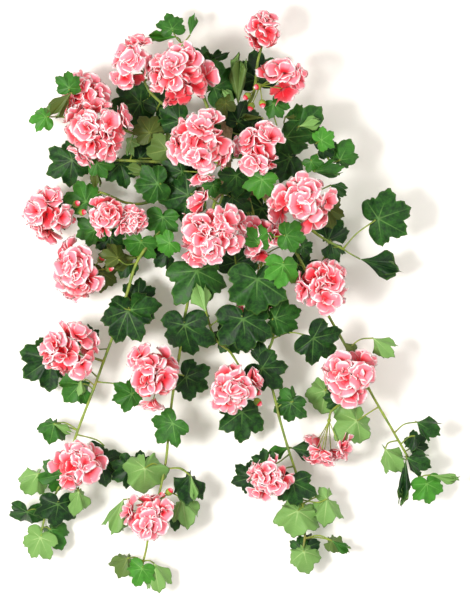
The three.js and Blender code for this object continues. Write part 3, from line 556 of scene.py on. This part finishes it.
def leaf_blade(sheaf, centre, axes, reach, look, opening, thickness, rng):
    """A lobed, waved blade that hangs from its stalk like an open or half-shut umbrella.

    It lies on a cone whose middle lobe runs along, and whose sides make the opening angle with its
    axis, so that 90 degrees is a flat blade. The direction at an angle is axis times cos opening
    plus (front times cos angle plus left times sin angle) times sin opening. In a half-shut leaf
    the side lobes fold back: FOLD_BACK times the angle's sine is added to it. A point at share t of
    the rim has the distance reach times rim share times t, and is lifted off the cone by reach
    times (t squared times a drop at the lobes and a rise at the notches, plus two waves along the
    rim and a crease along each main vein, less a droop of the middle lobe), more or less strongly
    for a half-shut, an open and a flat blade.
    """
    along, left, up = axes
    flat = opening is None
    open_leaf = flat or opening > OPENING[0]
    wide = math.radians(90 if flat else opening + rng.uniform(-4, 4))
    axis = along * math.cos(wide) - up * math.sin(wide)
    front = along * math.sin(wide) + up * math.cos(wide)
    angles = np.arange(BLADE_COLUMNS) / BLADE_COLUMNS * 2 * math.pi
    share, s, off = outline(angles, rng)
    t = BLADE_RINGS[:, None]
    distance = share * t
    x = distance * np.cos(angles)
    from_vein = np.abs(distance * np.sin(off))
    on_vein = distance * np.cos(off)
    phase = rng.uniform(0, FULL_TURN, 2)
    cup, droop = rng.uniform(-0.05, 0.1), rng.uniform(0.0, 0.12)
    waves = 0.05 * np.sin(5 * angles + phase[0]) + 0.03 * np.sin(11 * angles + phase[1])
    lift = t**2 * (-0.1 + 0.14 * s**2 + cup) + t**3 * waves - droop * np.maximum(x, 0) ** 2
    crease = 0.11 * t * np.sqrt(np.clip(from_vein, 0, 1))
    lift = (lift + crease) * (FLAT_LIFT if flat else OPEN_LIFT if open_leaf else SHUT_LIFT)
    half = (0.5 * thickness * (1 - 0.6 * t**2))[..., None]
    spread = angles + (0 if open_leaf else FOLD_BACK * np.sin(angles))
    round_axis = np.cos(spread)[:, None] * front + np.sin(spread)[:, None] * left
    direction = axis * math.cos(wide) + round_axis * math.sin(wide)
    outward = round_axis * math.cos(wide) - axis * math.sin(wide)
    middle = centre + reach * (distance[..., None] * direction + lift[..., None] * outward)
    upper = middle + half * outward
    lower = (middle - half * outward)[:-1]
    caps = np.stack([centre + 0.5 * thickness * up, centre - 0.5 * thickness * up])
    points = np.concatenate([caps, upper.reshape(-1, 3), lower.reshape(-1, 3)])
    tone, pale = LOOKS[look]
    tone = tone + rng.uniform(-0.06, 0.06)
    grid = (len(BLADE_RINGS), BLADE_COLUMNS)
    top = values_of(grid, tone=tone, pale=pale, reach=t, across=from_vein, along=on_vein)
    below = values_of(grid, tone=tone, pale=UNDER_PALE, reach=t, across=from_vein, along=on_vein)
    ends = np.array([[tone, pale, 0, 0, 0], [tone, UNDER_PALE, 0, 0, 0]])
    values = np.concatenate([ends, top, below[:-BLADE_COLUMNS]])
    sheaf.add(points, blade_faces(), LEAF_FINISH, values)


def petal_faces():
    """Faces of a two-sided petal on its grid, whose lower side shares the upper side's rim."""
    rows, columns = len(PETAL_ROWS), len(PETAL_COLUMNS)
    upper = np.arange(rows * columns).reshape(rows, columns)
    lower = upper.copy()
    inner = (rows - 2, columns - 2)
    lower[1:-1, 1:-1] = rows * columns + np.arange(inner[0] * inner[1]).reshape(inner)

    def quads(grid):
        return np.stack([grid[:-1, :-1], grid[1:, :-1], grid[1:, 1:], grid[:-1, 1:]], axis=-1).reshape(-1, 4)

    return [np.vstack([quads(upper), quads(lower)[:, ::-1]])]


def petals(sheaf, bases, axes, spins, sizes, opening, head, rng):
    """Petals round florets: bases and axes (n, 3), spins (n,), sizes (n, 2) as length and width.

    The midline leaves the axis at the first opening angle and bends evenly to the second, so its
    distance and height are the integrals of the sine and cosine of that angle. Half the width is a
    quarter sine up to 0.7 of the length and then rounds off. The petal is cupped by the square of
    the place across, and ruffled by a wave across it that grows towards the tip.
    """
    count = len(bases)
    s = PETAL_ROWS[None, :, None]
    v = PETAL_COLUMNS[None, None, :]
    length, width = sizes[:, 0, None, None], sizes[:, 1, None, None]
    first, last = (a[:, None, None] for a in opening)
    side = unit(np.cross(axes, np.array([0.31, 0.87, 0.38])))
    other = np.cross(axes, side)
    outward = np.cos(spins)[:, None] * side + np.sin(spins)[:, None] * other
    sideways = np.cross(axes, outward)
    run = s - 0.14 * s**3 * np.abs(v) ** 2.4 - 0.05 * s**6 * (1 - np.abs(v))
    angle = first + (last - first) * run
    distance = length * (np.cos(first) - np.cos(angle)) / (last - first)
    height = length * (np.sin(angle) - np.sin(first)) / (last - first)
    rise = np.sin(0.5 * math.pi * np.minimum(s / 0.7, 1))
    round_off = np.sqrt(1 - 0.5 * (np.maximum(s - 0.7, 0) / 0.3) ** 2)
    half = 0.5 * width * (0.14 + 0.86 * rise) * round_off
    phase, folds = rng.uniform(0, FULL_TURN, (count, 1, 1)), rng.uniform(2.5, 5.5, (count, 1, 1))
    cup = rng.uniform(-0.25, 0.5, (count, 1, 1))
    lift = half * cup * v**2 + 0.1 * width * s**2 * np.sin(folds * v + phase)

    def spread(scale, vectors):
        return scale[..., None] * vectors[:, None, None, :]

    inward = spread(-np.cos(angle), outward) + spread(np.sin(angle), axes)
    points = bases[:, None, None] + spread(distance, outward) + spread(height, axes)
    points = points + spread(half * v, sideways) + lift[..., None] * inward
    points = head.held(points)
    normal = unit(np.cross(np.gradient(points, axis=1), np.gradient(points, axis=2)))
    under = (points - 0.3 * normal)[:, 1:-1, 1:-1]
    # Painted shade: how deep each point lies in the head, which reddens the petals there.
    depth = head.depth(points)
    blush = np.broadcast_to(rng.uniform(0, 1, (count, 1, 1)), depth.shape)
    shape = depth.shape
    rim = np.maximum(run, 0.0) * np.ones(shape)
    many = len(VALUE_NAMES)
    upper = values_of(shape, tone=blush, pale=depth, reach=rim, across=v, along=s).reshape(*shape, many)
    lower = upper[:, 1:-1, 1:-1].reshape(count, -1, many)
    values = np.concatenate([upper.reshape(count, -1, many), lower], axis=1)
    points = np.concatenate([points.reshape(count, -1, 3), under.reshape(count, -1, 3)], axis=1)
    faces = repeat_faces(petal_faces(), count, points.shape[1])
    sheaf.add(points, faces, PETAL_FINISH, values.reshape(-1, many))


class HeadForm:
    """The place, half sizes and direction of one flower head."""

    def __init__(self, row):
        _, x, y, z, half_width, half_height, right, up_plan, self.buds, *shape = row
        self.bare = unit(np.array(shape[0])) if shape else None
        self.throat = shape[1] if len(shape) > 1 else None
        self.centre = place([(x, y, z)])[0]
        wide, high = half_width * PLAN_STEP, half_height * PLAN_STEP
        self.half = np.array([wide, high, HEAD_DEPTH * (wide + high)])
        self.facing = unit(np.array([right, up_plan, -0.4 if up_plan < -1 else 1.0]))
        self.size = self.half.mean()
        self.hub = self.centre - self.facing * self.size

    def share(self, points):
        """Distance from the centre as a share of the half sizes in that direction."""
        return np.linalg.norm((points - self.centre) / self.half, axis=-1)

    def held(self, points):
        """Points that would stand out of the head drawn in: past 1 only STANDS_OUT of the rest stays."""
        share = self.share(points)
        kept = np.minimum(share, 1 + STANDS_OUT * np.maximum(share - 1, 0))
        return self.centre + (points - self.centre) * (kept / np.maximum(share, 1e-6))[..., None]

    def depth(self, points):
        """0 at the head's surface and 1 deep inside it, from 0.98 to 0.62 of the half sizes.

        A head that is seen from behind has a quarter of that. The petal colour turns red with it, as painted
        shade deep in the head.
        """
        deep = np.clip((0.98 - self.share(points)) / 0.36, 0, 1)
        return deep * (1 if self.throat is None else 0.25)


def floret_places(head, spacing, rng):
    """Throats and axes of florets: a dome that covers the head as seen from its front, and a skirt.

    In the dome, the n-th floret of a golden-angle spiral lies at the share 0.86 times the square
    root of (n + 0.5) / count of the head's radius, so that the florets are evenly apart as seen
    from the front. In the skirt, the cosine to the facing falls evenly from 0.3 to -0.45. A throat
    lies under the head's surface, and its axis leans from there towards the facing.
    """
    front = max(4, round(DOME_FLORETS * (head.size / spacing) ** 2))
    skirt = max(3, round(SKIRT_FLORETS * (head.size / spacing) ** 2))
    cosine = np.concatenate([
        np.sqrt(1 - 0.74 * (np.arange(front) + 0.5) / front),
        0.3 - 0.75 * (np.arange(skirt) + 0.5) / skirt,
    ])
    count = front + skirt
    sine = np.sqrt(1 - cosine**2)
    turn = np.arange(count) * GOLDEN_ANGLE + rng.uniform(0, FULL_TURN)
    side = unit(np.cross(head.facing, [0.21, 0.34, 0.9] if abs(head.facing[2]) < 0.8 else [1.0, 0.2, 0]))
    other = np.cross(head.facing, side)
    across = np.cos(turn)[:, None] * side + np.sin(turn)[:, None] * other
    outs = unit(cosine[:, None] * head.facing + sine[:, None] * across + rng.normal(0, 0.15, (count, 3)))
    if head.bare is not None:
        kept = outs @ head.bare < BARE_FROM
        outs, cosine, count = outs[kept], cosine[kept], int(kept.sum())
    surface = rng.uniform(0.8, 1.04, count) / np.linalg.norm(outs / head.half, axis=1)
    sunk = THROAT_DEPTH * spacing + rng.uniform(-2.5, 6, count)
    out = np.maximum(surface - sunk, 0.3 * surface) if head.throat is None else head.throat * surface
    throats = head.centre + outs * out[:, None]
    axes = unit(outs + LEAN * head.facing * (cosine > 0.1)[:, None] + rng.normal(0, 0.3, (count, 3)))
    return throats, axes


def flower_head(sheaf, row, seed, petal_length, spacing):
    """Florets of two whorls of petals, their stalks from the hub, and buds."""
    rng = np.random.default_rng(seed)
    head = HeadForm(row)
    growth = min(1.0, max(0.7, head.size / 30))
    petal_length, spacing = petal_length * growth, spacing * growth
    throats, axes = floret_places(head, spacing, rng)
    for length, width, first, last, many in WHORLS:
        spins = np.arange(many) / many * 2 * math.pi + rng.uniform(0, FULL_TURN, (len(throats), 1))
        spins = (spins + rng.normal(0, 0.22, (len(throats), many))).ravel()
        count = len(spins)
        bases = np.repeat(throats, many, axis=0) + rng.normal(0, 0.9, (count, 3))
        outs = unit(np.repeat(axes, many, axis=0) + rng.normal(0, 0.2, (count, 3)))
        sizes = np.array([length, width]) * petal_length * rng.uniform(0.8, 1.14, (count, 2))
        opening = np.radians([first + rng.normal(0, 8, count), last + rng.normal(0, 17, count)])
        petals(sheaf, bases, outs, spins, sizes, opening, head, rng)
    hub_line = np.stack([head.hub + head.facing * k for k in (0.0, 1.5, 3.0, 4.5)])[None]
    tubes(sheaf, hub_line, np.array([1.8, 2.3, 2.1, 1.2]), 8, STALK_FINISH, 0.6)
    bend = 0.5 * (head.hub + throats) + 2.5 * head.facing
    reach = np.linspace(0, 1, 5)[None, :, None]
    start, middle, end = head.hub[None, None] + 2 * head.facing, bend[:, None], throats[:, None]
    stalks = (1 - reach) ** 2 * start + 2 * reach * (1 - reach) * middle + reach**2 * end
    tubes(sheaf, stalks, np.full(5, 0.6), 5, STALK_FINISH, 0.75)
    for tip in place(head.buds) if head.buds else []:
        flower_bud(sheaf, head, tip)


def flower_bud(sheaf, head, tip):
    """A bud: its stalk from the hub, and a spindle whose radius is a skewed sine along it."""
    direction = unit(tip - head.hub)
    foot = tip - BUD_LENGTH * direction
    reach = np.linspace(0, 1, 8)[:, None]
    stalk = head.hub + (foot - head.hub) * reach + np.array([0, 0, 3.0]) * reach * (1 - reach)
    tubes(sheaf, stalk[None], np.full(8, 0.65), 6, STALK_FINISH, 0.8)
    reach = np.linspace(0, 1, 9)
    spindle = foot + direction * BUD_LENGTH * reach[:, None]
    radii = BUD_END + (BUD_RADIUS - BUD_END) * np.sin(math.pi * reach**0.8) ** 0.9
    tubes(sheaf, spindle[None, :6], radii[:6], 8, STALK_FINISH, 0.9)
    tubes(sheaf, spindle[None, 5:], radii[5:], 8, PETAL_FINISH, 0.3)


def stem_points(root, route):
    """The route of a stem, from 1 mm inside the end of the base's branch."""
    end, middle = branch_line(root)[-1], branch_line(root)[1]
    return np.vstack([end - unit(end - middle), place(route)])


def branch_line(root):
    """Three points of the base's branch: on the base, halfway and 3 mm higher, and the root."""
    end = place([root])[0]
    foot = nearest(place(BASE_ROUTE), end)
    return np.stack([foot, 0.5 * (foot + end) + np.array([0, 0, 3.0]), end])


def leaf(sheaf, line, row, settings, flat, rng):
    """A leaf: its blade, and its stalk from the nearest place on the stem, bent behind the blade."""
    x, y, z, heading, width, dip, roll, look, *opening = row
    sway = (0, 0) if flat or opening else rng.normal(0, (6, 12))
    axes = blade_axes(heading, dip + sway[0], roll + sway[1])
    centre = place([(x, y, z)])[0]
    reach = width * PLAN_STEP * WIDTH_TO_REACH
    opening = None if flat else (opening[0] if opening else rng.uniform(*OPENING))
    leaf_blade(sheaf, centre, axes, reach, look, opening, settings.thickness * TO_MM, rng)
    foot = nearest(line, centre)
    behind = 0 if opening and opening <= OPENING[0] else STALK_END * reach
    end = centre - axes[0] * behind - axes[2] * 0.3
    length = np.linalg.norm(end - foot)
    bend = foot + 0.6 * (end - foot) - axes[0] * 0.15 * length - axes[2] * 0.1 * length
    stalk = smooth_line([foot, bend, end], 10)
    if flat:
        stalk[:, 2] = np.maximum(stalk[:, 2], 1.6 * settings.stalk * TO_MM)
    radius = settings.stalk * TO_MM * np.array([1.5, 1.1, 1, 1, 1, 1, 1, 1, 1.05, 1.2])
    # Painted shade: the stalk takes its leaf's tone, so it darkens with the leaf's painted shade.
    tubes(sheaf, stalk[None], radius, 7, STALK_FINISH, LOOKS[look][0] * 0.6 + 0.3)


def leaves_of(sheaf, line, rows, resting, settings, seed):
    """All leaves of one stem, the resting ones flat just over the surface."""
    rng = np.random.default_rng(seed)
    for row in rows:
        leaf(sheaf, line, row, settings, False, rng)
    for x, y, heading, width, look in resting:
        leaf(sheaf, line, (x, y, 0.65, heading, width, 0, 0, look), settings, True, rng)


def head_stalk(sheaf, line, row):
    """The stalk of a flower head: from the stem below it, up behind the head, to its hub."""
    head = HeadForm(row)
    below = head.hub - 0.45 * head.size * head.facing
    below[2] = max(below[2], 12)
    foot = nearest(line, below)
    end = head.hub - 0.3 * head.facing
    route = smooth_line([foot, foot + 0.6 * (below - foot), below + 0.35 * (end - below), end], 16)
    tubes(sheaf, route[None], np.linspace(1.65, 1.35, 16), 8, STALK_FINISH, 0.55)


def new_material(name):
    """An empty node material and its tree."""
    material = bpy.data.materials.new(name)
    material.use_nodes = True
    tree = material.node_tree
    tree.nodes.clear()
    return material, tree


def node(tree, kind, inputs=(), **settings):
    """A node with its settings, and its inputs set to values or linked to other nodes' sockets."""
    made = tree.nodes.new(kind)
    for key, value in settings.items():
        setattr(made, key, value)
    for key, value in dict(inputs).items():
        if isinstance(value, bpy.types.NodeSocket):
            tree.links.new(value, made.inputs[key])
        else:
            made.inputs[key].default_value = value
    return made


def value(tree, name):
    """The socket of one of the piece's values."""
    return node(tree, "ShaderNodeAttribute", attribute_name=name).outputs["Fac"]


def fade(tree, socket, low, high, to_low=0.0, to_high=1.0):
    """A smooth step from one value at low to another at high."""
    inputs = {"Value": socket, "From Min": low, "From Max": high, "To Min": to_low, "To Max": to_high}
    return node(tree, "ShaderNodeMapRange", inputs, interpolation_type="SMOOTHSTEP").outputs["Result"]


def maths(tree, operation, first, second=0.0, clamp=False):
    """One sum, product or function of sockets or numbers."""
    made = node(tree, "ShaderNodeMath", {0: first, 1: second}, operation=operation, use_clamp=clamp)
    return made.outputs["Value"]


def mixed(tree, factor, first, second):
    """One colour over another by a factor."""
    made = node(tree, "ShaderNodeMix", data_type="RGBA")
    for key, item in ((0, factor), (6, first), (7, second)):
        if isinstance(item, bpy.types.NodeSocket):
            tree.links.new(item, made.inputs[key])
        else:
            made.inputs[key].default_value = item if key == 0 else (*item[:3], 1.0)
    return made.outputs[2]


def noise(tree, scale, detail=3.0, rough=0.6):
    """Noise on the piece's own coordinates, by its count of features a metre."""
    where = node(tree, "ShaderNodeTexCoord").outputs["Object"]
    inputs = {"Vector": where, "Scale": scale, "Detail": detail, "Roughness": rough}
    return node(tree, "ShaderNodeTexNoise", inputs).outputs["Fac"]


def bump(tree, height, strength, distance):
    """A bump from a height."""
    inputs = {"Height": height, "Strength": strength, "Distance": distance}
    return node(tree, "ShaderNodeBump", inputs).outputs["Normal"]


def finished(tree, inputs):
    """A principled shader with these inputs, joined to the output."""
    shader = node(tree, "ShaderNodeBsdfPrincipled", inputs)
    node(tree, "ShaderNodeOutputMaterial", {"Surface": shader.outputs["BSDF"]})


def leaf_material(settings):
    """Waxy leaf: dark to bright by tone, light veins, a light star at the stalk, a pale underside.

    The tone is partly painted shade and light, and an olive upper face is an underside in painted shade.
    """
    material, tree = new_material("geranium_leaf")
    reach, across = value(tree, "reach"), value(tree, "across")
    mottle = noise(tree, 140, 4.0)
    tone = maths(tree, "ADD", value(tree, "tone"), fade(tree, mottle, 0.3, 0.7, -0.12, 0.12), clamp=True)
    # Painted shade and light: the tone mixes the shaded and the lit colour of the upper face.
    face = mixed(tree, tone, settings.dark, settings.bright)
    slant = maths(tree, "SUBTRACT", value(tree, "along"), maths(tree, "MULTIPLY", across, 0.9))
    ribs = maths(tree, "SINE", maths(tree, "MULTIPLY", slant, 62.0))
    rib_mask = maths(tree, "MULTIPLY", fade(tree, ribs, 0.8, 1.0), fade(tree, across, 0.3, 0.02))
    vein_mask = fade(tree, across, 0.024, 0.005)
    vein_mask = maths(tree, "MULTIPLY", vein_mask, fade(tree, reach, 1.0, 0.3, 0.35, 1.0))
    star = fade(tree, reach, 0.17, 0.02)
    lines = maths(tree, "MAXIMUM", maths(tree, "MULTIPLY", rib_mask, 0.2), vein_mask)
    lines = maths(tree, "MAXIMUM", lines, star)
    share = maths(tree, "MULTIPLY", lines, fade(tree, tone, 0.0, 0.9, 0.26, 0.5))
    face = mixed(tree, share, face, rgb(0.5, 0.7, 0.36))
    face = mixed(tree, fade(tree, reach, 0.93, 1.0, 0.0, 0.35), face, rgb(0.42, 0.6, 0.25))
    under = mixed(tree, maths(tree, "MULTIPLY", lines, 0.5), settings.under, rgb(0.72, 0.82, 0.55))
    under = mixed(tree, fade(tree, mottle, 0.35, 0.7, 0.0, 0.4), under, rgb(0.38, 0.55, 0.28))
    # Painted shade: the olive colour of an underside that lies in shade.
    olive = mixed(tree, maths(tree, "MULTIPLY", lines, 0.4), rgb(0.27, 0.33, 0.12), rgb(0.5, 0.55, 0.25))
    colour = mixed(tree, fade(tree, value(tree, "pale"), 0.0, 0.4), face, olive)
    colour = mixed(tree, fade(tree, value(tree, "pale"), 0.4, 0.9), colour, under)
    height = maths(tree, "ADD", maths(tree, "MULTIPLY", lines, -0.6), noise(tree, 420, 3.0))
    inputs = {
        "Base Color": colour,
        "Roughness": fade(tree, mottle, 0.3, 0.7, 0.42, 0.56),
        "Normal": bump(tree, height, 0.35, 0.0006),
        "Specular IOR Level": 0.22,
    }
    finished(tree, inputs)
    return material


def stalk_material(settings):
    """Green stems and stalks, olive to reddish along them, with fine streaks, darker by their tone.

    A leaf's stalk takes its leaf's tone, and with it the leaf's painted shade.
    """
    material, tree = new_material("geranium_stalk")
    mottle = noise(tree, 90, 4.0)
    colour = mixed(tree, fade(tree, mottle, 0.35, 0.68), settings.green, rgb(0.36, 0.47, 0.16))
    # Painted shade: darker where the tone is low, which for a leaf's stalk follows its leaf's painted shade.
    colour = mixed(tree, value(tree, "tone"), mixed(tree, 0.5, colour, rgb(0.25, 0.3, 0.1)), colour)
    reddish = fade(tree, noise(tree, 40, 2.0), 0.55, 0.75, 0.0, 0.45)
    colour = mixed(tree, reddish, colour, rgb(0.5, 0.33, 0.18))
    inputs = {
        "Base Color": colour,
        "Roughness": 0.55,
        "Normal": bump(tree, noise(tree, 900, 2.0), 0.3, 0.0004),
    }
    finished(tree, inputs)
    return material


def petal_material(settings):
    """Petals: coral at the base, pink in the middle, near white at the rim, red deep in the head.

    The red deep in the head is painted shade.
    """
    material, tree = new_material("geranium_petal")
    reach, across = value(tree, "reach"), value(tree, "across")
    side = maths(tree, "ABSOLUTE", across)
    wander = maths(tree, "MULTIPLY", noise(tree, 300, 2.0), 7.0)
    streak = maths(tree, "SINE", maths(tree, "ADD", maths(tree, "MULTIPLY", across, 16.0), wander))
    colour = mixed(tree, fade(tree, reach, 0.2, 0.64), settings.base, settings.middle)
    edge = maths(tree, "MAXIMUM", fade(tree, reach, 0.74, 0.93), fade(tree, side, 0.72, 1.0))
    edge = maths(tree, "MULTIPLY", edge, fade(tree, value(tree, "tone"), 0.0, 1.0, 0.82, 1.0))
    colour = mixed(tree, edge, colour, settings.rim)
    colour = mixed(tree, fade(tree, streak, 0.2, 1.0, 0.0, 0.18), colour, rgb(0.93, 0.45, 0.52))
    # Painted shade: petals deep in the head turn to the base's red.
    colour = mixed(tree, fade(tree, value(tree, "pale"), 0.12, 0.8, 0.0, 0.88), colour, settings.base)
    inputs = {
        "Base Color": colour,
        "Roughness": 0.6,
        "Sheen Weight": 0.15,
        "Sheen Roughness": 0.5,
        "Normal": bump(tree, maths(tree, "ADD", streak, noise(tree, 600, 2.0)), 0.15, 0.0005),
    }
    finished(tree, inputs)
    return material


def bark_material(settings):
    """Bark with long ridges, from brown to grey."""
    material, tree = new_material("geranium_bark")
    ridges = noise(tree, 160, 6.0, 0.7)
    colour = mixed(tree, fade(tree, ridges, 0.35, 0.65), settings.bark, rgb(0.55, 0.47, 0.34))
    inputs = {"Base Color": colour, "Roughness": 0.85, "Normal": bump(tree, ridges, 0.8, 0.0015)}
    finished(tree, inputs)
    return material


def surface_material():
    """A matt, near-white surface with the faintest unevenness."""
    material, tree = new_material("pale_surface")
    uneven = fade(tree, noise(tree, 3, 2.0), 0.3, 0.7)
    colour = mixed(tree, uneven, rgb(0.97, 0.965, 0.955), rgb(0.985, 0.98, 0.975))
    finished(tree, {"Base Color": colour, "Roughness": 0.9, "Specular IOR Level": 0.1})
    return material


def plant_material(name):
    """One of the bush's materials, made on its first use."""
    if name in bpy.data.materials:
        return bpy.data.materials[name]
    scene = bpy.context.scene
    makers = {
        "geranium_leaf": lambda: leaf_material(scene.geranium_leaves),
        "geranium_stalk": lambda: stalk_material(scene.geranium_stems),
        "geranium_petal": lambda: petal_material(scene.geranium_heads),
        "geranium_bark": lambda: bark_material(scene.geranium_stems),
    }
    return makers[name]()


def settle(piece, node_name):
    """The piece rides on the bush's body and stands for its CAD node."""
    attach(piece, "root")
    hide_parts(node_name)


class GERANIUM_OT_woody_base(bpy.types.Operator):
    """Build the woody base with its branches and its own leaves"""

    bl_idname = "geranium.woody_base"
    bl_label = "Woody Base"

    def execute(self, context):
        settings = context.scene.geranium_stems
        sheaf = Sheaf()
        trunk = smooth_line(place(BASE_ROUTE), 24)
        run = np.linspace(0, 1, 24)
        knobs = 1 + 0.05 * np.sin(17 * run) + 0.04 * np.sin(41 * run + 1)
        tubes(sheaf, trunk[None], settings.base_radius * TO_MM * knobs * 0.97, 20, BARK_FINISH, 0.4)
        for root, *_ in STEMS.values():
            branch = smooth_line(branch_line(root), 14)
            swell = np.linspace(1.25, 0.95, 14) * (1 + 0.05 * np.sin(np.arange(14)))
            tubes(sheaf, branch[None], 2.5 * swell, 10, BARK_FINISH, 0.4)
        line = smooth_line(place(BASE_ROUTE), 20)
        leaves_of(sheaf, line, BASE_LEAVES, BASE_RESTING, context.scene.geranium_leaves, BASE_SEED)
        materials = [plant_material(m) for m in ("geranium_stalk", "geranium_leaf", "geranium_bark")]
        settle(sheaf.build("woody_base_piece", materials), "woody_base")
        return {"FINISHED"}


class GERANIUM_OT_leafy_stems(bpy.types.Operator):
    """Build the leafy stems, each with its leaf stalks, leaves and flower stalks"""

    bl_idname = "geranium.leafy_stems"
    bl_label = "Leafy Stems"

    def execute(self, context):
        scene = context.scene
        materials = [plant_material(m) for m in ("geranium_stalk", "geranium_leaf")]
        for order, (letter, (root, route, leaves, resting)) in enumerate(STEMS.items()):
            sheaf = Sheaf()
            points = stem_points(root, route)
            length = np.linalg.norm(np.diff(points, axis=0), axis=1).sum()
            stations = max(8, int(length / 5))
            line = smooth_line(points, stations)
            run = np.arange(stations)
            radii = scene.geranium_stems.radius * TO_MM * np.linspace(1.1, 0.72, stations)
            radii = radii * (1 + 0.16 * (run % 7 == 3))
            tubes(sheaf, line[None], radii, 9, STALK_FINISH, 0.6)
            leaves_of(sheaf, line, leaves, resting, scene.geranium_leaves, STEM_SEED + order)
            for row in HEADS:
                if row[0] == letter:
                    head_stalk(sheaf, line, row)
            name = f"leafy_stem_{letter}"
            settle(sheaf.build(f"{name}_piece", materials), name)
        return {"FINISHED"}


class GERANIUM_OT_flower_heads(bpy.types.Operator):
    """Build the flower heads, each with its florets, floret stalks and buds"""

    bl_idname = "geranium.flower_heads"
    bl_label = "Flower Heads"

    def execute(self, context):
        settings = context.scene.geranium_heads
        materials = [plant_material(m) for m in ("geranium_stalk", "geranium_petal")]
        for index, row in enumerate(HEADS):
            sheaf = Sheaf()
            flower_head(sheaf, row, HEAD_SEED + index, settings.petal * TO_MM, settings.spacing * TO_MM)
            name = f"bloom_{index + 1:02d}"
            settle(sheaf.build(f"{name}_piece", materials), name)
        return {"FINISHED"}


class GERANIUM_OT_stage(bpy.types.Operator):
    """Set up the pale surface, the soft light and the camera that looks straight down"""

    bl_idname = "geranium.stage"
    bl_label = "Surface, Light and Camera"

    def execute(self, context):
        scene = context.scene
        settings = scene.geranium_stage
        bpy.ops.mesh.primitive_plane_add(size=6)
        floor = context.object
        floor.name = "pale_surface"
        floor.data.materials.append(surface_material())
        for name, spot, size, power in (
            ("key_light", (-1.25, -0.35, 2.2), 0.65, settings.key),
            ("fill_light", (1.5, 0.6, 1.9), 1.3, settings.key * 0.25),
        ):
            lamp = bpy.data.lights.new(name, "AREA")
            lamp.energy = power
            lamp.size = size
            lamp.color = rgb(1.0, 0.99, 0.97)
            light = bpy.data.objects.new(name, lamp)
            light.location = spot
            aim = np.array(FRAME_CENTRE) - np.array(spot)
            yaw = math.atan2(aim[1], aim[0])
            pitch = math.atan2(np.hypot(aim[0], aim[1]), -aim[2])
            light.rotation_euler = (pitch, 0, yaw - math.pi / 2)
            scene.collection.objects.link(light)
        world = bpy.data.worlds.new("soft_sky")
        world.use_nodes = True
        sky = world.node_tree.nodes["Background"]
        sky.inputs["Color"].default_value = (*rgb(1.0, 0.98, 0.955), 1)
        sky.inputs["Strength"].default_value = settings.sky
        scene.world = world
        lens = bpy.data.cameras.new("camera")
        lens.sensor_fit = "VERTICAL"
        lens.sensor_height = 24
        lens.lens = 24 * (settings.camera_height - 0.05) / FRAME_HEIGHT
        lens.clip_end = 50
        camera = bpy.data.objects.new("camera", lens)
        camera.location = (FRAME_CENTRE[0], FRAME_CENTRE[1], settings.camera_height)
        scene.collection.objects.link(camera)
        scene.camera = camera
        scene.view_settings.view_transform = "Standard"
        return {"FINISHED"}


class GERANIUM_PT_bush(bpy.types.Panel):
    """The steps and settings of the bush"""

    bl_idname = "GERANIUM_PT_bush"
    bl_label = "Ivy Geranium Bush"
    bl_space_type = "VIEW_3D"
    bl_region_type = "UI"
    bl_category = "Geranium"

    def draw(self, context):
        for step, group in STEPS:
            self.layout.operator(f"geranium.{step}")
            settings = getattr(context.scene, group)
            for key in settings.__annotations__:
                self.layout.prop(settings, key)


STEPS = [
    ("woody_base", "geranium_stems"),
    ("leafy_stems", "geranium_leaves"),
    ("flower_heads", "geranium_heads"),
    ("stage", "geranium_stage"),
]
GROUPS = {
    "geranium_leaves": LeafSettings,
    "geranium_heads": HeadSettings,
    "geranium_stems": StemSettings,
    "geranium_stage": StageSettings,
}
CLASSES = [
    GERANIUM_OT_woody_base, GERANIUM_OT_leafy_stems, GERANIUM_OT_flower_heads, GERANIUM_OT_stage,
    GERANIUM_PT_bush,
]


def register():
    """Registers the settings, the operators and the panel."""
    for name, group in GROUPS.items():
        bpy.utils.register_class(group)
        setattr(bpy.types.Scene, name, PointerProperty(type=group))
    for item in CLASSES:
        bpy.utils.register_class(item)


def unregister():
    """Takes them off again."""
    for item in reversed(CLASSES):
        bpy.utils.unregister_class(item)
    for name, group in GROUPS.items():
        delattr(bpy.types.Scene, name)
        bpy.utils.unregister_class(group)


def main():
    register()
    for step, _ in STEPS:
        getattr(bpy.ops.geranium, step)()


if __name__ == "__main__":
    main()
